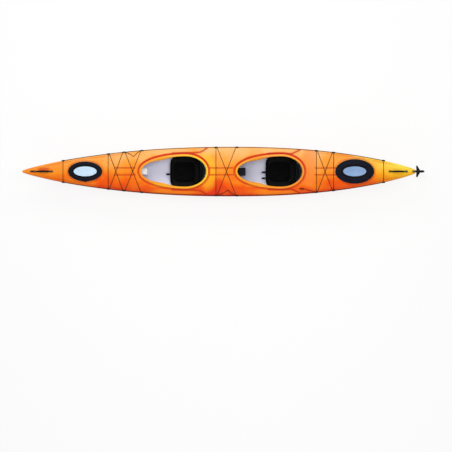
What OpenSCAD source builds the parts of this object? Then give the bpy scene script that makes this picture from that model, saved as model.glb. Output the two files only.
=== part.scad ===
// Tandem touring kayak: a moulded hull and deck with two cockpits, two oval hatches,
// deck lines, a lifting rudder worked by pedals and a skeg that swings into the hull.
// The flat of the keel lies on z = 0. +X points to the stern, +Y to starboard, +Z up.

/* [Hull and deck] */
// Length from bow to stern
hull_length = 5250; // [5150:10:5350]
// Greatest width
beam = 665; // [645:1:690]
// How far aft of midships the widest section lies
widest_x = 160; // [120:10:200]
// Height of the gunwale above the keel amidships
gunwale_height = 207; // [200:1:214]
// Rise of the gunwale to the bow
bow_sheer = 74; // [64:1:84]
// Rise of the gunwale to the stern
stern_sheer = 43; // [34:1:50]
// Length of the raked stem
stem_length = 430; // [400:5:470]
// Height of the deck's centre line above the keel
deck_height = 302; // [296:1:310]
// Rise of the deck in front of each cockpit
deck_peak = 43; // [32:1:50]
// Dip of the deck beside each seat
deck_dip = 20; // [10:1:24]
// Thickness of the moulded wall
wall = 5; // [4:0.5:6]

/* [Cockpits] */
// Widest point of the front opening, measured from midships
front_cockpit_x = -450; // [-460:1:-440]
// Distance from the front cockpit to the rear one
cockpit_pitch = 1282; // [1270:1:1294]
// Length of an opening ahead of its widest point
cockpit_fore = 586; // [570:1:596]
// Length of an opening behind its widest point
cockpit_aft = 279; // [270:1:288]
// Width of an opening
cockpit_width = 405; // [395:1:412]
// Width of the rim that holds a spray deck
rim_width = 26; // [22:1:30]
// Height of that rim above the deck
rim_height = 16; // [13:1:20]
// How far the thigh brace reaches into an opening
thigh_brace = 28; // [8:1:32]

/* [Hatches] */
// Distance of the front hatch's centre from the bow
front_hatch_inset = 841; // [831:1:851]
// Length of the front hatch cover
front_hatch_length = 457; // [440:1:470]
// Width of the front hatch cover
front_hatch_width = 266; // [250:1:280]
// Distance of the rear hatch's centre from the stern
rear_hatch_inset = 815; // [805:1:825]
// Length of the rear hatch cover
rear_hatch_length = 521; // [505:1:530]
// Width of the rear hatch cover
rear_hatch_width = 329; // [310:1:340]
// Length of the pale plate in each cover
plate_length = 307; // [290:1:315]
// Width of the pale plate in each cover
plate_width = 132; // [110:1:140]

/* [Seats] */
// Height of the seat pan's underside above the keel
seat_height = 34; // [30:1:40]
// Length of the seat pan
seat_length = 400; // [380:1:420]
// Width of the seat pan
seat_width = 400; // [380:1:410]
// Thickness of the seat cushion at its edge
cushion_thickness = 26; // [20:1:32]
// Height of the top of the backrest above the keel
backrest_top = 322; // [300:1:330]
// Radius of the backrest's curve
backrest_radius = 230; // [222:1:240]

/* [Deck gear] */
// Radius of a deck line
cord_radius = 2.6; // [2:0.1:3]
// Radius of a deck fitting
fitting_radius = 14; // [12:0.5:15]
// Length of a carry handle between its screws
handle_span = 224; // [210:1:236]
// Height of a carry handle's arch above the deck
handle_rise = 24; // [18:1:30]

/* [Rudder and skeg] */
// Distance of the rudder's upright axis aft of the stern
rudder_axis_gap = 30; // [28:1:36]
// Height of the rudder blade's pin above the keel
rudder_pin_height = 340; // [334:1:346]
// Depth of the rudder's tip below the keel
rudder_depth = 145; // [110:1:170]
// Half width across the rudder's horns
horn_reach = 72; // [60:1:80]
// Distance of the skeg slot's front end ahead of the rear hatch's centre
skeg_slot_lead = 65; // [55:1:75]
// Length of the skeg slot
skeg_slot_length = 377; // [372:1:385]
// Depth of the skeg's tip below the keel
skeg_depth = 115; // [90:1:120]

/* [Foot rests] */
// Length of a foot-rest rail
rail_length = 380; // [340:5:400]
// Height of the rails above the keel
rail_height = 130; // [120:1:140]

/* [Hidden] */
$fn = 48;

// Shape of the hull
half_length = hull_length / 2;
bow_half = 12;
stern_half = 24;
bow_curve = 2.15;
stern_curve = 2.3;
end_curve = 0.88;
bow_top = 262;
tail_length = 164;
tail_slope = 1.5;
lug_height = 186;
section_mid = 2.8;
section_end = 1.4;
camber = 2.4;
nose_length = 70;
keel_angle = 5.3;
slot_half = 7;
fit = 0.8;

// Counts of points along the moulding
side_points = 7;
deck_points = 12;
fitting_angle = 90 - 180 / deck_points;

// Places where the deck lines cross the boat
front_tip = front_cockpit_x - cockpit_fore;
rear_cockpit_x = front_cockpit_x + cockpit_pitch;
rear_tip = rear_cockpit_x - cockpit_fore;
front_hatch_x = front_hatch_inset - half_length;
rear_hatch_x = half_length - rear_hatch_inset;
front_hatch_end = front_hatch_x + front_hatch_length / 2;
rear_hatch_end = rear_hatch_x - rear_hatch_length / 2;
rear_end = rear_cockpit_x + cockpit_aft;
fore_gap = front_tip - front_hatch_end;
aft_gap = rear_hatch_end - rear_end;
bow_line_x = front_hatch_x - front_hatch_length / 2 - 68;
fore_line_x = front_hatch_end + 0.15 * fore_gap;
peak_line_x = front_tip - 0.45 * fore_gap;
mid_line_x = rear_tip - 286;
aft_line_x = rear_end + 0.43 * aft_gap;
rear_line_x = rear_hatch_end - 0.045 * aft_gap;
stern_line_x = rear_hatch_x + rear_hatch_length / 2 + 125;
peak_end_x = peak_line_x + 240;
mid_end_x = mid_line_x + 280;
fitting_x = [
    bow_line_x, fore_line_x, peak_line_x, peak_end_x, mid_line_x,
    mid_end_x, aft_line_x, rear_line_x, stern_line_x
];
skeg_slot_x = rear_hatch_x - skeg_slot_lead;
skeg_slot_end = skeg_slot_x + skeg_slot_length;

// Small helpers for lists and points
function clamp(v, low, high) = max(low, min(high, v));
function bell(v, centre, width) = exp(-pow((v - centre) / width, 2));
function ease(v) = let (t = clamp(v, 0, 1)) t * t * (3 - 2 * t);
function signed_power(v, e) = sign(v) * pow(abs(v), e);
function unit(v) = v / norm(v);
function flat(lists) = [for (list = lists) each list];
function reversed(list) = [for (i = [len(list) - 1:-1:0]) list[i]];
function span(a, b, n) = [for (i = [0:n]) i == n ? b : a + (b - a) * i / n];
function without_last(list) = [for (i = [0:len(list) - 2]) list[i]];
function without_ends(list) = [for (i = [1:len(list) - 2]) list[i]];

// A mesh is a pair: a list of points and a list of faces
function quad(a, b, c, d) = [[a, b, c], [a, c, d]];
function quad_crossed(a, b, c, d) = [[a, b, d], [b, c, d]];
function strip_faces(rows, cols) = flat([
    for (r = [0:rows - 2]) for (c = [0:cols - 1])
        let (n = (c + 1) % cols) quad(r * cols + c, r * cols + n, (r + 1) * cols + n, (r + 1) * cols + c)
]);
function joined(meshes) =
    let (starts = [for (i = 0, s = 0; i < len(meshes); s = s + len(meshes[i][0]), i = i + 1) s])
    [
        flat([for (m = meshes) m[0]]),
        [for (i = [0:len(meshes) - 1]) for (f = meshes[i][1]) [for (v = f) v + starts[i]]]
    ];
// Rings of points become a solid with both ends closed
function loft(rings) =
    let (n = len(rings[0]), m = len(rings))
    [
        flat(rings),
        concat(strip_faces(m, n), [[for (i = [n - 1:-1:0]) i]], [[for (i = [0:n - 1]) (m - 1) * n + i]])
    ];
module mesh(m) {
    polyhedron(points = m[0], faces = m[1], convexity = 8);
}

// Lines of the hull and deck
function bow_side(x) = x < widest_x;
function end_share(x) = bow_side(x)
    ? pow((widest_x - x) / (half_length + widest_x), bow_curve)
    : pow((x - widest_x) / (half_length - widest_x), stern_curve);
function end_half(x) = bow_side(x) ? bow_half : stern_half;
function half_beam(x) =
    end_half(x) + (beam / 2 - end_half(x)) * pow(max(0, 1 - end_share(x)), end_curve);
function sheer(x) = gunwale_height
    + (x < 0 ? bow_sheer * pow(-x / half_length, 4.3) : stern_sheer * pow(x / half_length, 3));
function stem(x) = bow_top * pow(max(0, 1 - (x + half_length) / stem_length), 1.15);
function tail(x) = min(lug_height, tail_slope * max(0, x - half_length + tail_length));
function keel(x) = stem(x) + tail(x);
function crown(x) = deck_height - 5 * x / half_length
    + deck_peak * bell(x, front_tip - 104, 240) + deck_peak * bell(x, rear_tip - 106, 230)
    - deck_dip * bell(x, front_cockpit_x - 20, 300) - deck_dip * bell(x, rear_cockpit_x - 72, 300);
function section_power(x) =
    section_mid - (section_mid - section_end) * pow(abs(x) / half_length, 3);
// The moulding is solid at its two ends
function hollow(x) = clamp((half_length - abs(x)) / nose_length, 0, 1);
function arch(s) = pow(max(0, 1 - pow(min(1, abs(s)), camber)), 1 / camber);
function deck_z(x, y) = sheer(x) + (crown(x) - sheer(x)) * arch(y / half_beam(x));
function under_z(x, y, t) =
    sheer(x) + (crown(x) - sheer(x) - t) * hollow(x) * arch(y / (half_beam(x) - t));

// One point of the hull's section, t inside its outer face
function hull_point(x, a, t) =
    let (e = 2 / section_power(x))
    let (depth = (sheer(x) - keel(x) - t) * (t > 0 ? hollow(x) : 1))
    [
        x,
        (half_beam(x) - t) * signed_power(sin(a), e),
        sheer(x) - depth * pow(cos(a) / cos(keel_angle), e)
    ];
function hull_side(x, t, way) = [
    for (i = [0:side_points]) hull_point(x, way * (90 - (90 - keel_angle) * i / side_points), t)
];
function slot_point(x, t, way) =
    let (edge = hull_point(x, way * keel_angle, t))
    [x, way * min(slot_half, abs(edge[1]) * 0.5), edge[2]];
function hull_row(x, t) = concat(
    hull_side(x, t, 1), [slot_point(x, t, 1), slot_point(x, t, -1)], reversed(hull_side(x, t, -1))
);
function hull_loop(x) = concat(hull_row(x, 0), reversed(hull_row(x, wall)));

// Stations along the boat, panel by panel
bow_stations = [
    for (i = [0:9]) i == 9 ? bow_line_x : -half_length + (bow_line_x + half_length) * pow(i / 9, 1.3)
];
front_hatch_stations = span(bow_line_x, fore_line_x, 8);
fore_stations = span(fore_line_x, peak_line_x, 3);
front_cockpit_stations = span(peak_line_x, mid_line_x, 12);
rear_cockpit_stations = span(mid_line_x, aft_line_x, 13);
aft_stations = span(aft_line_x, rear_line_x, 3);
rear_hatch_stations = concat(
    without_last(span(rear_line_x, skeg_slot_x, 3)),
    without_last(span(skeg_slot_x, skeg_slot_end, 5)),
    [skeg_slot_end, stern_line_x]
);
stern_stations = span(stern_line_x, half_length, 8);
hull_stations = concat(
    without_last(bow_stations), without_last(front_hatch_stations), without_last(fore_stations),
    without_last(front_cockpit_stations), without_last(rear_cockpit_stations),
    without_last(aft_stations), without_last(rear_hatch_stations), stern_stations
);

// The two ends of a hollow loop are closed by a strip from its outer row to its inner one.
// The inner row is a straight line there, so each side has its own diagonals.
function end_strip(start, half, at_bow) = flat([
    for (c = [0:half - 2])
        let (a = start + c, b = start + 2 * half - 1 - c, first = c < half / 2)
        at_bow
        ? (first ? quad(a + 1, a, b, b - 1) : quad_crossed(a + 1, a, b, b - 1))
        : (first ? quad_crossed(a, a + 1, b - 1, b) : quad(a, a + 1, b - 1, b))
]);
function in_slot(x) = x > skeg_slot_x - 0.01 && x < skeg_slot_end - 0.01;
function hull_mesh() =
    let (half = 2 * side_points + 4, cols = 2 * half, rows = len(hull_stations))
    let (gap = side_points + 1, inner_gap = half + side_points + 1)
    let (slot_rows = [for (r = [0:rows - 2]) if (in_slot(hull_stations[r])) r])
    let (first = slot_rows[0] * cols, last = (slot_rows[len(slot_rows) - 1] + 1) * cols)
    [
        [for (x = hull_stations) each hull_loop(x)],
        concat(
            flat([
                for (r = [0:rows - 2]) for (c = [0:cols - 1])
                    if (!(in_slot(hull_stations[r]) && (c == gap || c == inner_gap)))
                        let (n = (c + 1) % cols, a = r * cols, b = a + cols)
                        quad(a + c, a + n, b + n, b + c)
            ]),
            flat([
                for (r = slot_rows)
                    let (a = r * cols, b = a + cols)
                    concat(
                        quad(b + gap, a + gap, a + inner_gap + 1, b + inner_gap + 1),
                        quad(a + gap + 1, b + gap + 1, b + inner_gap, a + inner_gap)
                    )
            ]),
            quad(first + gap, first + gap + 1, first + inner_gap, first + inner_gap + 1),
            quad(last + gap + 1, last + gap, last + inner_gap + 1, last + inner_gap),
            end_strip(0, half, true),
            end_strip((rows - 1) * cols, half, false)
        )
    ];

// Rows of the deck across the boat, top and underside
function across(x, z_of, t) = [
    for (j = [0:deck_points])
        let (y = (half_beam(x) - t) * sin(-90 + 180 * j / deck_points)) [x, y, z_of(x, y)]
];
function top_row(x) = across(x, function (x, y) deck_z(x, y), 0);
function under_row(x, t) = across(x, function (x, y) under_z(x, y, t), t);
function deck_loop(x) = concat(top_row(x), reversed(under_row(x, wall)));
function plain_panel(xs) =
    let (cols = 2 * deck_points + 2) [[for (x = xs) each deck_loop(x)], strip_faces(len(xs), cols)];
function bow_cap(x) = [deck_loop(x), end_strip(0, deck_points + 1, true)];
function stern_cap(x) = [deck_loop(x), end_strip(0, deck_points + 1, false)];

// The border of a panel with a hole in it, clockwise from the front port corner
function border(xs, row_of, edge_of) = concat(
    row_of(xs[0]), [for (x = without_ends(xs)) edge_of(x, 1)],
    reversed(row_of(xs[len(xs) - 1])), [for (x = reversed(without_ends(xs))) edge_of(x, -1)]
);
function gunwale(x, way, t) = [x, way * (half_beam(x) - t), sheer(x)];
// Angles round the hole, one for each point of the border
function hole_angles(sides, corner) = concat(
    [for (a = span(180 + corner, 180 - corner, deck_points)) a],
    [for (a = without_ends(span(180 - corner, corner, sides))) a],
    [for (a = span(corner, -corner, deck_points)) a],
    [for (a = without_ends(span(-corner, corner - 180, sides))) a]
);
// A hole is [centre, length ahead of it, length behind it, half width]
function hole_reach(hole, a) = cos(a) < 0 ? hole[1] : hole[2];
function hole_point(hole, a, d) =
    let (reach = hole_reach(hole, a), n = unit([cos(a) / reach, sin(a) / hole[3]]))
    [hole[0] + reach * cos(a) + n[0] * d, hole[3] * sin(a) + n[1] * d];
function blend(p, q, f) = [p[0] + (q[0] - p[0]) * f, p[1] + (q[1] - p[1]) * f];
// Rows between the border and the hole's surround lie on the deck's own surface
function between(hole, angles, edge, d, f, z_of) = [
    for (i = [0:len(angles) - 1])
        let (p = blend(hole_point(hole, angles[i], d), edge[i], f)) [p[0], p[1], z_of(p[0], p[1])]
];
function holed_panel(xs, hole, corner, rim_rows, d_top, d_under) =
    let (sides = len(xs) - 1, angles = hole_angles(sides, corner))
    let (top = border(xs, function (x) top_row(x), function (x, way) gunwale(x, way, 0)))
    let (low = border(xs, function (x) under_row(x, wall), function (x, way) gunwale(x, way, wall)))
    let (on_top = function (x, y) deck_z(x, y), below = function (x, y) under_z(x, y, wall))
    let (
        rows = concat(
            [top],
            [for (f = [0.95, 0.84, 0.62, 0.32]) between(hole, angles, top, d_top, f, on_top)],
            rim_rows(angles),
            [for (f = [0, 0.6]) between(hole, angles, low, d_under, f, below)],
            [low]
        )
    )
    let (n = len(angles), last = (len(rows) - 1) * n)
    [
        flat(rows),
        concat(
            strip_faces(len(rows), n),
            flat([
                for (c = [0:n - 1])
                    if ((c >= deck_points && c < deck_points + sides) || c >= 2 * deck_points + sides)
                        let (m = (c + 1) % n) quad(last + c, last + m, m, c)
            ])
        )
    ];

// The cockpit rim in section, as [distance from the opening, height above the deck]
cockpit_section = [
    [rim_width + 34, 0], [rim_width + 12, -7], [rim_width - 10, -7], [rim_width - 14, rim_height - 11],
    [rim_width, rim_height - 7], [rim_width, rim_height - 3], [rim_width - 5, rim_height],
    [5, rim_height], [0, rim_height - 4]
];
function cockpit_hole(x) = [x, cockpit_fore, cockpit_aft, cockpit_width / 2];
function brace(hole, a) = thigh_brace * bell(hole_point(hole, a, 0)[0], hole[0] - 310, 130);
function rim_point(hole, a, d, h) =
    let (p = hole_point(hole, a, d)) [p[0], p[1], deck_z(p[0], p[1]) + h];
function cockpit_rows(hole, angles) = concat(
    [for (s = cockpit_section) [for (a = angles) rim_point(hole, a, s[0], s[1])]],
    [[for (a = angles) rim_point(hole, a, -brace(hole, a), -14)]],
    [[for (a = angles) rim_point(hole, a, 8, -26)]]
);
function cockpit_panel(xs, x) =
    let (hole = cockpit_hole(x))
    holed_panel(xs, hole, 40, function (angles) cockpit_rows(hole, angles), rim_width + 34, rim_width + 32);

// The hatch rim stands on a flat seat, as [distance from the opening, height above the seat]
hatch_lip = 32;
hatch_section = [[40, -1], [35, 0], [8, 0], [6, 10], [0, 10], [0, -14], [8, -20]];
function hatch_seat(x) = crown(x) + 2;
function hatch_hole(x, length, width) =
    [x, length / 2 - hatch_lip, length / 2 - hatch_lip, width / 2 - hatch_lip];
function hatch_rows(hole, angles) = concat(
    [[for (a = angles) rim_point(hole, a, 46, 0)]],
    [
        for (s = hatch_section)
            [for (a = angles) concat(hole_point(hole, a, s[0]), hatch_seat(hole[0]) + s[1])]
    ]
);
function hatch_panel(xs, x, length, width) =
    let (hole = hatch_hole(x, length, width))
    holed_panel(xs, hole, 45, function (angles) hatch_rows(hole, angles), 46, 44);

// Inside faces of the hull, as height over a place and half width at a height
function inner_depth(x) = (sheer(x) - keel(x) - wall) * hollow(x);
function keel_share(x) = pow(cos(keel_angle), 2 / section_power(x));
function floor_z(x, y) =
    let (n = section_power(x), s = min(1, abs(y) / (half_beam(x) - wall)))
    max(keel(x) + wall, sheer(x) - inner_depth(x) * pow(1 - pow(s, n), 1 / n) / keel_share(x));
function wall_y(x, z) =
    let (n = section_power(x), q = (sheer(x) - z) / inner_depth(x) * keel_share(x))
    (half_beam(x) - wall) * pow(1 - pow(q, n), 1 / n);

// Closed outlines
function oval(cx, cy, ax, ay, e, n, z) = [
    for (i = [0:n - 1])
        let (t = -360 * i / n)
        [cx + ax * signed_power(cos(t), 2 / e), cy + ay * signed_power(sin(t), 2 / e), z]
];
function arc(cx, cy, r, a, b, n) = [for (t = span(a, b, n)) [cx + r * cos(t), cy + r * sin(t)]];
function rounded(w, h, r) = concat(
    arc(w / 2 - r, h / 2 - r, r, 0, 90, 6), arc(r - w / 2, h / 2 - r, r, 90, 180, 6),
    arc(r - w / 2, r - h / 2, r, 180, 270, 6), arc(w / 2 - r, r - h / 2, r, 270, 360, 6)
);
// A profile drawn in X and Z, made t thick about the plane at y
module upright(y, t) {
    translate([0, y + t / 2, 0]) rotate([90, 0, 0]) linear_extrude(height = t) children();
}
// A round bar across the boat from y = a to y = b
module cross_bar(x, z, r, a, b) {
    translate([x, a, z]) rotate([-90, 0, 0]) cylinder(r = r, h = b - a);
}

module hull_shell() {
    color("orangered") mesh(hull_mesh());
}

module deck_shell() {
    color("orange") mesh(joined([
        bow_cap(-half_length),
        plain_panel(bow_stations),
        hatch_panel(front_hatch_stations, front_hatch_x, front_hatch_length, front_hatch_width),
        plain_panel(fore_stations),
        cockpit_panel(front_cockpit_stations, front_cockpit_x),
        cockpit_panel(rear_cockpit_stations, rear_cockpit_x),
        plain_panel(aft_stations),
        hatch_panel(rear_hatch_stations, rear_hatch_x, rear_hatch_length, rear_hatch_width),
        plain_panel(stern_stations),
        stern_cap(half_length)
    ]));
}

// A foam bulkhead fills the inside of the moulding between two stations
function bulkhead_ring(x) = concat(hull_row(x, wall + fit), without_ends(under_row(x, wall + fit)));

module bow_bulkhead() {
    color("dimgray") mesh(loft([bulkhead_ring(fore_stations[1]), bulkhead_ring(fore_stations[2])]));
}

module stern_bulkhead() {
    color("dimgray") mesh(loft([bulkhead_ring(aft_stations[1]), bulkhead_ring(aft_stations[2])]));
}

// A foam pillar stands on the keel and holds up the deck ahead of a cockpit
function block_ring(x, half, low, high) =
    [[x, half, high], [x, half, low], [x, -half, low], [x, -half, high]];
pillar_gap = 6;
pillar_step = 262;
front_pillar_half = 40;
mid_pillar_half = 49;
front_pillar_run = 76;
mid_pillar_run = 110;
mid_pillar_lead = 170;
function pillar_top(x, half) = under_z(x, half, wall) - pillar_gap;
function pillar_ring(x, half, high) = block_ring(x, half, keel(x) + wall, high);
function pillar(start, tip, end, half) = loft(concat(
    [for (x = span(start, tip - rim_width - 40, 6)) pillar_ring(x, half, pillar_top(x, half))],
    [pillar_ring(tip - rim_width - 30, half, pillar_step), pillar_ring(end, half, pillar_step - 6)]
));

module front_pillar() {
    color("white") mesh(pillar(fore_stations[2] + 20, front_tip, front_tip + front_pillar_run, front_pillar_half));
}

module mid_pillar() {
    color("black") mesh(pillar(rear_tip - mid_pillar_lead, rear_tip, rear_tip + mid_pillar_run, mid_pillar_half));
}

// Seats, drawn for a cockpit whose widest point lies at x
function runner_mesh(x, way) = loft([
    for (p = span(x - 150, x + 150, 3))
        let (a = way > 0 ? 112 : -78, b = way > 0 ? 78 : -112)
        [
            [p, a, seat_height], [p, a, floor_z(p, a) + 1.3],
            [p, b, floor_z(p, b) + 1.3], [p, b, seat_height]
        ]
]);
module seat_runners(x) {
    color("dimgray") mesh(joined([runner_mesh(x, 1), runner_mesh(x, -1)]));
}

function pan_edge(x, p) = seat_height + 28 + 56 * ease((p - x + 150) / 190);
function pan_ring(x, d, z) = oval(x, 0, seat_length / 2 + d, seat_width / 2 + d, 5, 32, z);
function pan_rim(x, d, h) = [for (p = pan_ring(x, d, 0)) [p[0], p[1], pan_edge(x, p[0]) + h]];
module seat_pan(x) {
    color("black") mesh(loft([
        pan_ring(x, -16, seat_height), pan_ring(x, -5, seat_height + 8), pan_rim(x, 0, 0),
        pan_rim(x, 8, 0), pan_rim(x, 8, 4), pan_rim(x, -5, 4),
        pan_ring(x, -10, seat_height + 14), pan_ring(x, -24, seat_height + 6)
    ]));
}

// The cushion is drawn in at its foot, crowned, and has a channel down its middle
function cushion_ring(x, d, z, hollowed) = [
    for (p = oval(x - 22, 0, seat_length / 2 - 50 + d, seat_width / 2 - 62 + d, 4, 32, z))
        [p[0], p[1], z - hollowed * bell(p[1], 0, 26)]
];
module seat_cushion(x) {
    low = seat_height + 6;
    high = low + cushion_thickness;
    color("black") mesh(loft([
        cushion_ring(x, -5, low, 0), cushion_ring(x, 2, low + 5, 0),
        cushion_ring(x, 3, low + cushion_thickness * 0.6, 0), cushion_ring(x, -6, high, 0),
        cushion_ring(x, -30, high + 6, 3), cushion_ring(x, -70, high + 9, 6),
        cushion_ring(x, -110, high + 9, 0)
    ]));
}

// Where a backrest turns, and the curve that it follows
hinge_z = seat_height + 66;
function hinge_x(x) = x + 120;
backrest_foot = hinge_z + 42;
backrest_half_angle = 33;
arm_out = (backrest_radius + 6) * sin(backrest_half_angle) + 0.5;
arm_thickness = 8;
ear_gap = 1;
module hinge_ear(x, y) {
    upright(y, arm_thickness) difference() {
        union() {
            translate([hinge_x(x), hinge_z]) circle(r = 14);
            translate([hinge_x(x) - 14, seat_height + 6]) square([28, hinge_z - seat_height - 6]);
        }
        translate([hinge_x(x), hinge_z]) circle(r = 5.05);
    }
}
module seat_ears(x) {
    ear_y = arm_out + ear_gap + arm_thickness / 2;
    color("black") union() {
        hinge_ear(x, ear_y);
        hinge_ear(x, -ear_y);
    }
}
module backrest_arm(x, y) {
    upright(y, arm_thickness) difference() {
        union() {
            translate([hinge_x(x), hinge_z]) circle(r = 14);
            polygon([
                [hinge_x(x) - 9, hinge_z + 10], [hinge_x(x) + 9, hinge_z - 10],
                [x + 198, backrest_foot + 2], [x + 198, backrest_foot + 60]
            ]);
        }
        translate([hinge_x(x), hinge_z]) circle(r = 5.05);
    }
}
// The top of a backrest turns back towards the cockpit rim
brim_gap = 9;
module backrest_brim(x) {
    polygon(concat(
        [for (t = span(-34, 34, 16)) [x + (cockpit_aft - brim_gap) * cos(t), (cockpit_width / 2 - brim_gap) * sin(t)]],
        [for (a = span(27, -27, 12)) [x + 5 + (backrest_radius + 3) * cos(a), (backrest_radius + 3) * sin(a)]]
    ));
}
module backrest_shell(x) {
    arm_y = arm_out - arm_thickness / 2;
    color("black") union() {
        translate([0, 0, backrest_top - 5]) linear_extrude(height = 5) backrest_brim(x);
        translate([x + 5, 0, backrest_foot])
            rotate([0, 0, -backrest_half_angle])
            rotate_extrude(angle = 2 * backrest_half_angle, $fn = 96)
            translate([backrest_radius, 0]) square([6, backrest_top - backrest_foot]);
        backrest_arm(x, arm_y);
        backrest_arm(x, -arm_y);
    }
}
module backrest_pins(x) {
    inner = arm_out - arm_thickness - 1.5;
    outer = arm_out + ear_gap + arm_thickness;
    color("silver") union() {
        cross_bar(hinge_x(x), hinge_z, 5, inner, outer);
        cross_bar(hinge_x(x), hinge_z, 5, -outer, -inner);
    }
}
// The pad is a crowned cushion bent round the inside of the shell
function pad_ring(x, a) =
    let (full = 1 - 0.55 * pow(abs(a) / 29, 4), mid = (backrest_foot + backrest_top) / 2 - 2)
    let (tall = (backrest_top - backrest_foot) / 2 - 9)
    [
        for (i = [0:13])
            let (t = 360 * i / 14, deep = 12 * full)
            let (r = backrest_radius - 0.4 - deep + deep * signed_power(cos(t), 0.7))
            [x + 5 + r * cos(a), r * sin(a), mid + tall * (0.85 + 0.15 * full) * signed_power(sin(t), 0.6)]
    ];
module backrest_pad(x) {
    color("black") mesh(loft([for (a = span(-29, 29, 12)) pad_ring(x, a)]));
}

// A pull tab of webbing at the front lip of a seat pan
function tab_ring(x, y, half, low, high) =
    [[x, y + half, high], [x, y + half, low], [x, y - half, low], [x, y - half, high]];
function tab(x, y) =
    let (lip = pan_ring(x, 8, 0), share = (abs(y) - 13) / abs(lip[15][1]))
    let (front = lip[16][0] + (lip[15][0] - lip[16][0]) * max(0, share) - 0.3, z = seat_height + 29)
    loft([
        tab_ring(front - 52, y, 8, z - 9, z - 6), tab_ring(front - 36, y, 13, z - 2, z + 2),
        tab_ring(front, y, 13, z, z + 3)
    ]);

module front_seat_runners() {
    seat_runners(front_cockpit_x);
}
module front_seat_pan() {
    seat_pan(front_cockpit_x);
}
module front_seat_ears() {
    seat_ears(front_cockpit_x);
}
module front_seat_cushion() {
    seat_cushion(front_cockpit_x);
}
module front_seat_strap() {
    color("black") mesh(tab(front_cockpit_x, -33));
}
module front_backrest_shell() {
    backrest_shell(front_cockpit_x);
}
module front_backrest_pad() {
    backrest_pad(front_cockpit_x);
}
module front_backrest_pins() {
    backrest_pins(front_cockpit_x);
}
module rear_seat_runners() {
    seat_runners(rear_cockpit_x);
}
module rear_seat_pan() {
    seat_pan(rear_cockpit_x);
}
module rear_seat_ears() {
    seat_ears(rear_cockpit_x);
}
module rear_seat_cushion() {
    seat_cushion(rear_cockpit_x);
}
module rear_seat_strap() {
    color("black") mesh(joined([tab(rear_cockpit_x, -7), tab(rear_cockpit_x, -87)]));
}
module rear_backrest_shell() {
    backrest_shell(rear_cockpit_x);
}
module rear_backrest_pad() {
    backrest_pad(rear_cockpit_x);
}
module rear_backrest_pins() {
    backrest_pins(rear_cockpit_x);
}

// Foot-rest rails run along the hull's side, with their middle at x
rail_gap = 18;
rail_deep = 6;
rail_tall = 22;
front_rail_x = front_cockpit_x - 668;
pedal_rail_x = rear_cockpit_x - 668;
function rail_end_y(x, way) = wall_y(x + way * rail_length / 2, rail_height) - rail_gap;
function rail_turn(x) = atan2(rail_end_y(x, 1) - rail_end_y(x, -1), rail_length);
module beside_hull(x, way) {
    y = (rail_end_y(x, 1) + rail_end_y(x, -1)) / 2;
    mirror([0, way < 0 ? 1 : 0, 0]) translate([x, y, rail_height]) rotate([0, 0, rail_turn(x)]) children();
}
module rail() {
    union() {
        cube([rail_length, rail_deep, rail_tall], center = true);
        for (end = [-1, 1])
            translate([end * (rail_length / 2 - 12), rail_deep / 2 - 1, 0])
                rotate([-90, 0, 0]) cylinder(r = 6, h = rail_gap - rail_deep / 2 - 2.6);
    }
}
module foot_rest(plate_high) {
    slack = 0.3;
    union() {
        difference() {
            translate([0, -1, 0]) cube([64, rail_deep + 12, rail_tall + 12], center = true);
            cube([70, rail_deep + 2 * slack, rail_tall + 2 * slack], center = true);
        }
        translate([-32, -rail_deep / 2 - 46, 6])
            rotate([90, 0, 90]) linear_extrude(height = 9) polygon(rounded(84, plate_high, 28));
    }
}

module front_rails() {
    color("silver") union() {
        beside_hull(front_rail_x, 1) rail();
        beside_hull(front_rail_x, -1) rail();
    }
}
module front_foot_rest_left() {
    color("black") beside_hull(front_rail_x, -1) foot_rest(110);
}
module front_foot_rest_right() {
    color("black") beside_hull(front_rail_x, 1) foot_rest(110);
}
module pedal_rails() {
    color("silver") union() {
        beside_hull(pedal_rail_x, 1) rail();
        beside_hull(pedal_rail_x, -1) rail();
    }
}
module rudder_pedal_left() {
    color("black") beside_hull(pedal_rail_x, -1) foot_rest(124);
}
module rudder_pedal_right() {
    color("black") beside_hull(pedal_rail_x, 1) foot_rest(124);
}

// A hatch cover fits down over its rim, with a plate let into its top
module hatch_cover(x, length, width) {
    a = length / 2 - hatch_lip;
    b = width / 2 - hatch_lip;
    function ring(d, z) = oval(x, 0, a + d, b + d, 2, 40, hatch_seat(x) + z);
    function round_plate(d, z) =
        oval(x, 0, plate_length / 2 + d, plate_width / 2 + d, 2, 40, hatch_seat(x) + z);
    color("black") mesh(loft([
        ring(8.5, 10.4), ring(10.5, 0.3), ring(hatch_lip - 2, 0.3), ring(hatch_lip, 3),
        ring(hatch_lip - 1, 9), ring(hatch_lip - 8, 13), ring(4, 14.5), ring(-2, 17),
        round_plate(6, 18.5), round_plate(0.5, 18), round_plate(0.5, 15)
    ]));
}
module hatch_plate(x) {
    color("lightblue") translate([x, 0, hatch_seat(x) + 15])
        linear_extrude(height = 3.4)
        polygon([for (p = oval(0, 0, plate_length / 2, plate_width / 2, 2, 40, 0)) [p[0], p[1]]]);
}
module front_hatch_cover() {
    hatch_cover(front_hatch_x, front_hatch_length, front_hatch_width);
}
module front_hatch_plate() {
    hatch_plate(front_hatch_x);
}
module rear_hatch_cover() {
    hatch_cover(rear_hatch_x, rear_hatch_length, rear_hatch_width);
}
module rear_hatch_plate() {
    hatch_plate(rear_hatch_x);
}

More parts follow.
